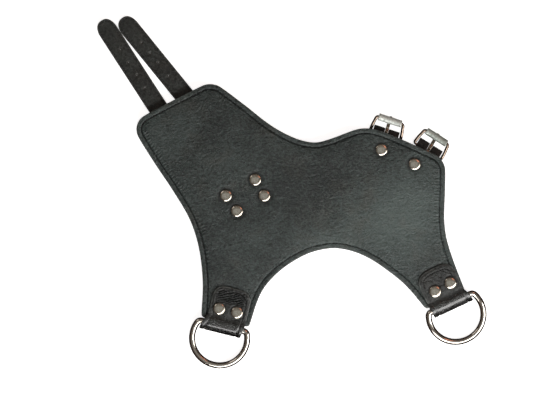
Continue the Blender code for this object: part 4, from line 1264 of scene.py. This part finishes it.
def world_light():
    """A soft room: pale above, dim and warm towards the horizon and below it."""
    world = bpy.data.worlds.new("studio")
    bpy.context.scene.world = world
    world.use_nodes = True
    tree = world.node_tree
    coordinates = tree.nodes.new("ShaderNodeTexCoord")
    split = tree.nodes.new("ShaderNodeSeparateXYZ")
    ramp = tree.nodes.new("ShaderNodeValToRGB")
    tree.links.new(coordinates.outputs["Generated"], split.inputs[0])
    tree.links.new(split.outputs["Z"], ramp.inputs["Fac"])
    elements = ramp.color_ramp.elements
    for element, (place, colour) in zip(elements, (WORLD_STOPS[0], WORLD_STOPS[-1])):
        element.position, element.color = place, (*colour, 1)
    for place, colour in WORLD_STOPS[1:-1]:
        elements.new(place).color = (*colour, 1)
    tree.links.new(ramp.outputs["Color"], tree.nodes["Background"].inputs["Color"])


def stage_piece(name, places, faces, look):
    """A surface of the set."""
    mesh = bpy.data.meshes.new(name)
    mesh.from_pydata(places, [], faces)
    mesh.shade_smooth()
    mesh.materials.append(look)
    return added(name, mesh)


def studio():
    """The pale floor, its backdrop, the lamps and the camera straight above the pad."""
    look = Nodes("floor_look").finish(
        Base_Color=(0.92, 0.92, 0.92, 1), Roughness=0.9, Specular_IOR_Level=0.1,
        Emission_Color=(1, 1, 1, 1), Emission_Strength=0.85)
    corners = [(x * FLOOR_HALF, y * FLOOR_HALF, 0) for x, y in ((-1, -1), (1, -1), (1, 1), (-1, 1))]
    floor = stage_piece("floor", corners, [(0, 1, 2, 3)], look)
    floor.visible_glossy = False
    turns = np.arange(BACKDROP_SIDES) * math.tau / BACKDROP_SIDES
    places = [(r * math.cos(a), r * math.sin(a), z) for r, z in BACKDROP for a in turns]
    faces = loop_faces(len(BACKDROP), BACKDROP_SIDES, closed=False)[:-2]
    backdrop = stage_piece("backdrop", places, faces, look)
    backdrop.visible_glossy = backdrop.visible_diffuse = backdrop.visible_shadow = False
    for row in LAMPS:
        lamp(*row)
    world_light()
    data = bpy.data.cameras.new("camera")
    data.sensor_width = SENSOR_WIDTH
    data.lens = SENSOR_WIDTH * (CAMERA_HEIGHT - CAMERA_OVER[2]) / FIELD_WIDTH
    data.clip_end = 50.0
    camera = added("camera", data)
    camera.location = (CAMERA_OVER[0], CAMERA_OVER[1], CAMERA_HEIGHT)
    bpy.context.scene.camera = camera
    bpy.context.scene.view_settings.view_transform = "Standard"


# ---- assembly


pad_pieces(smooth_loop(outline_of("outer_panel"), 1.2))
rivets()
for which in SIDES:
    tab(which)
    ring(which)
    buckle(which)
    strap(which)
studio()
bpy.context.view_layer.update()
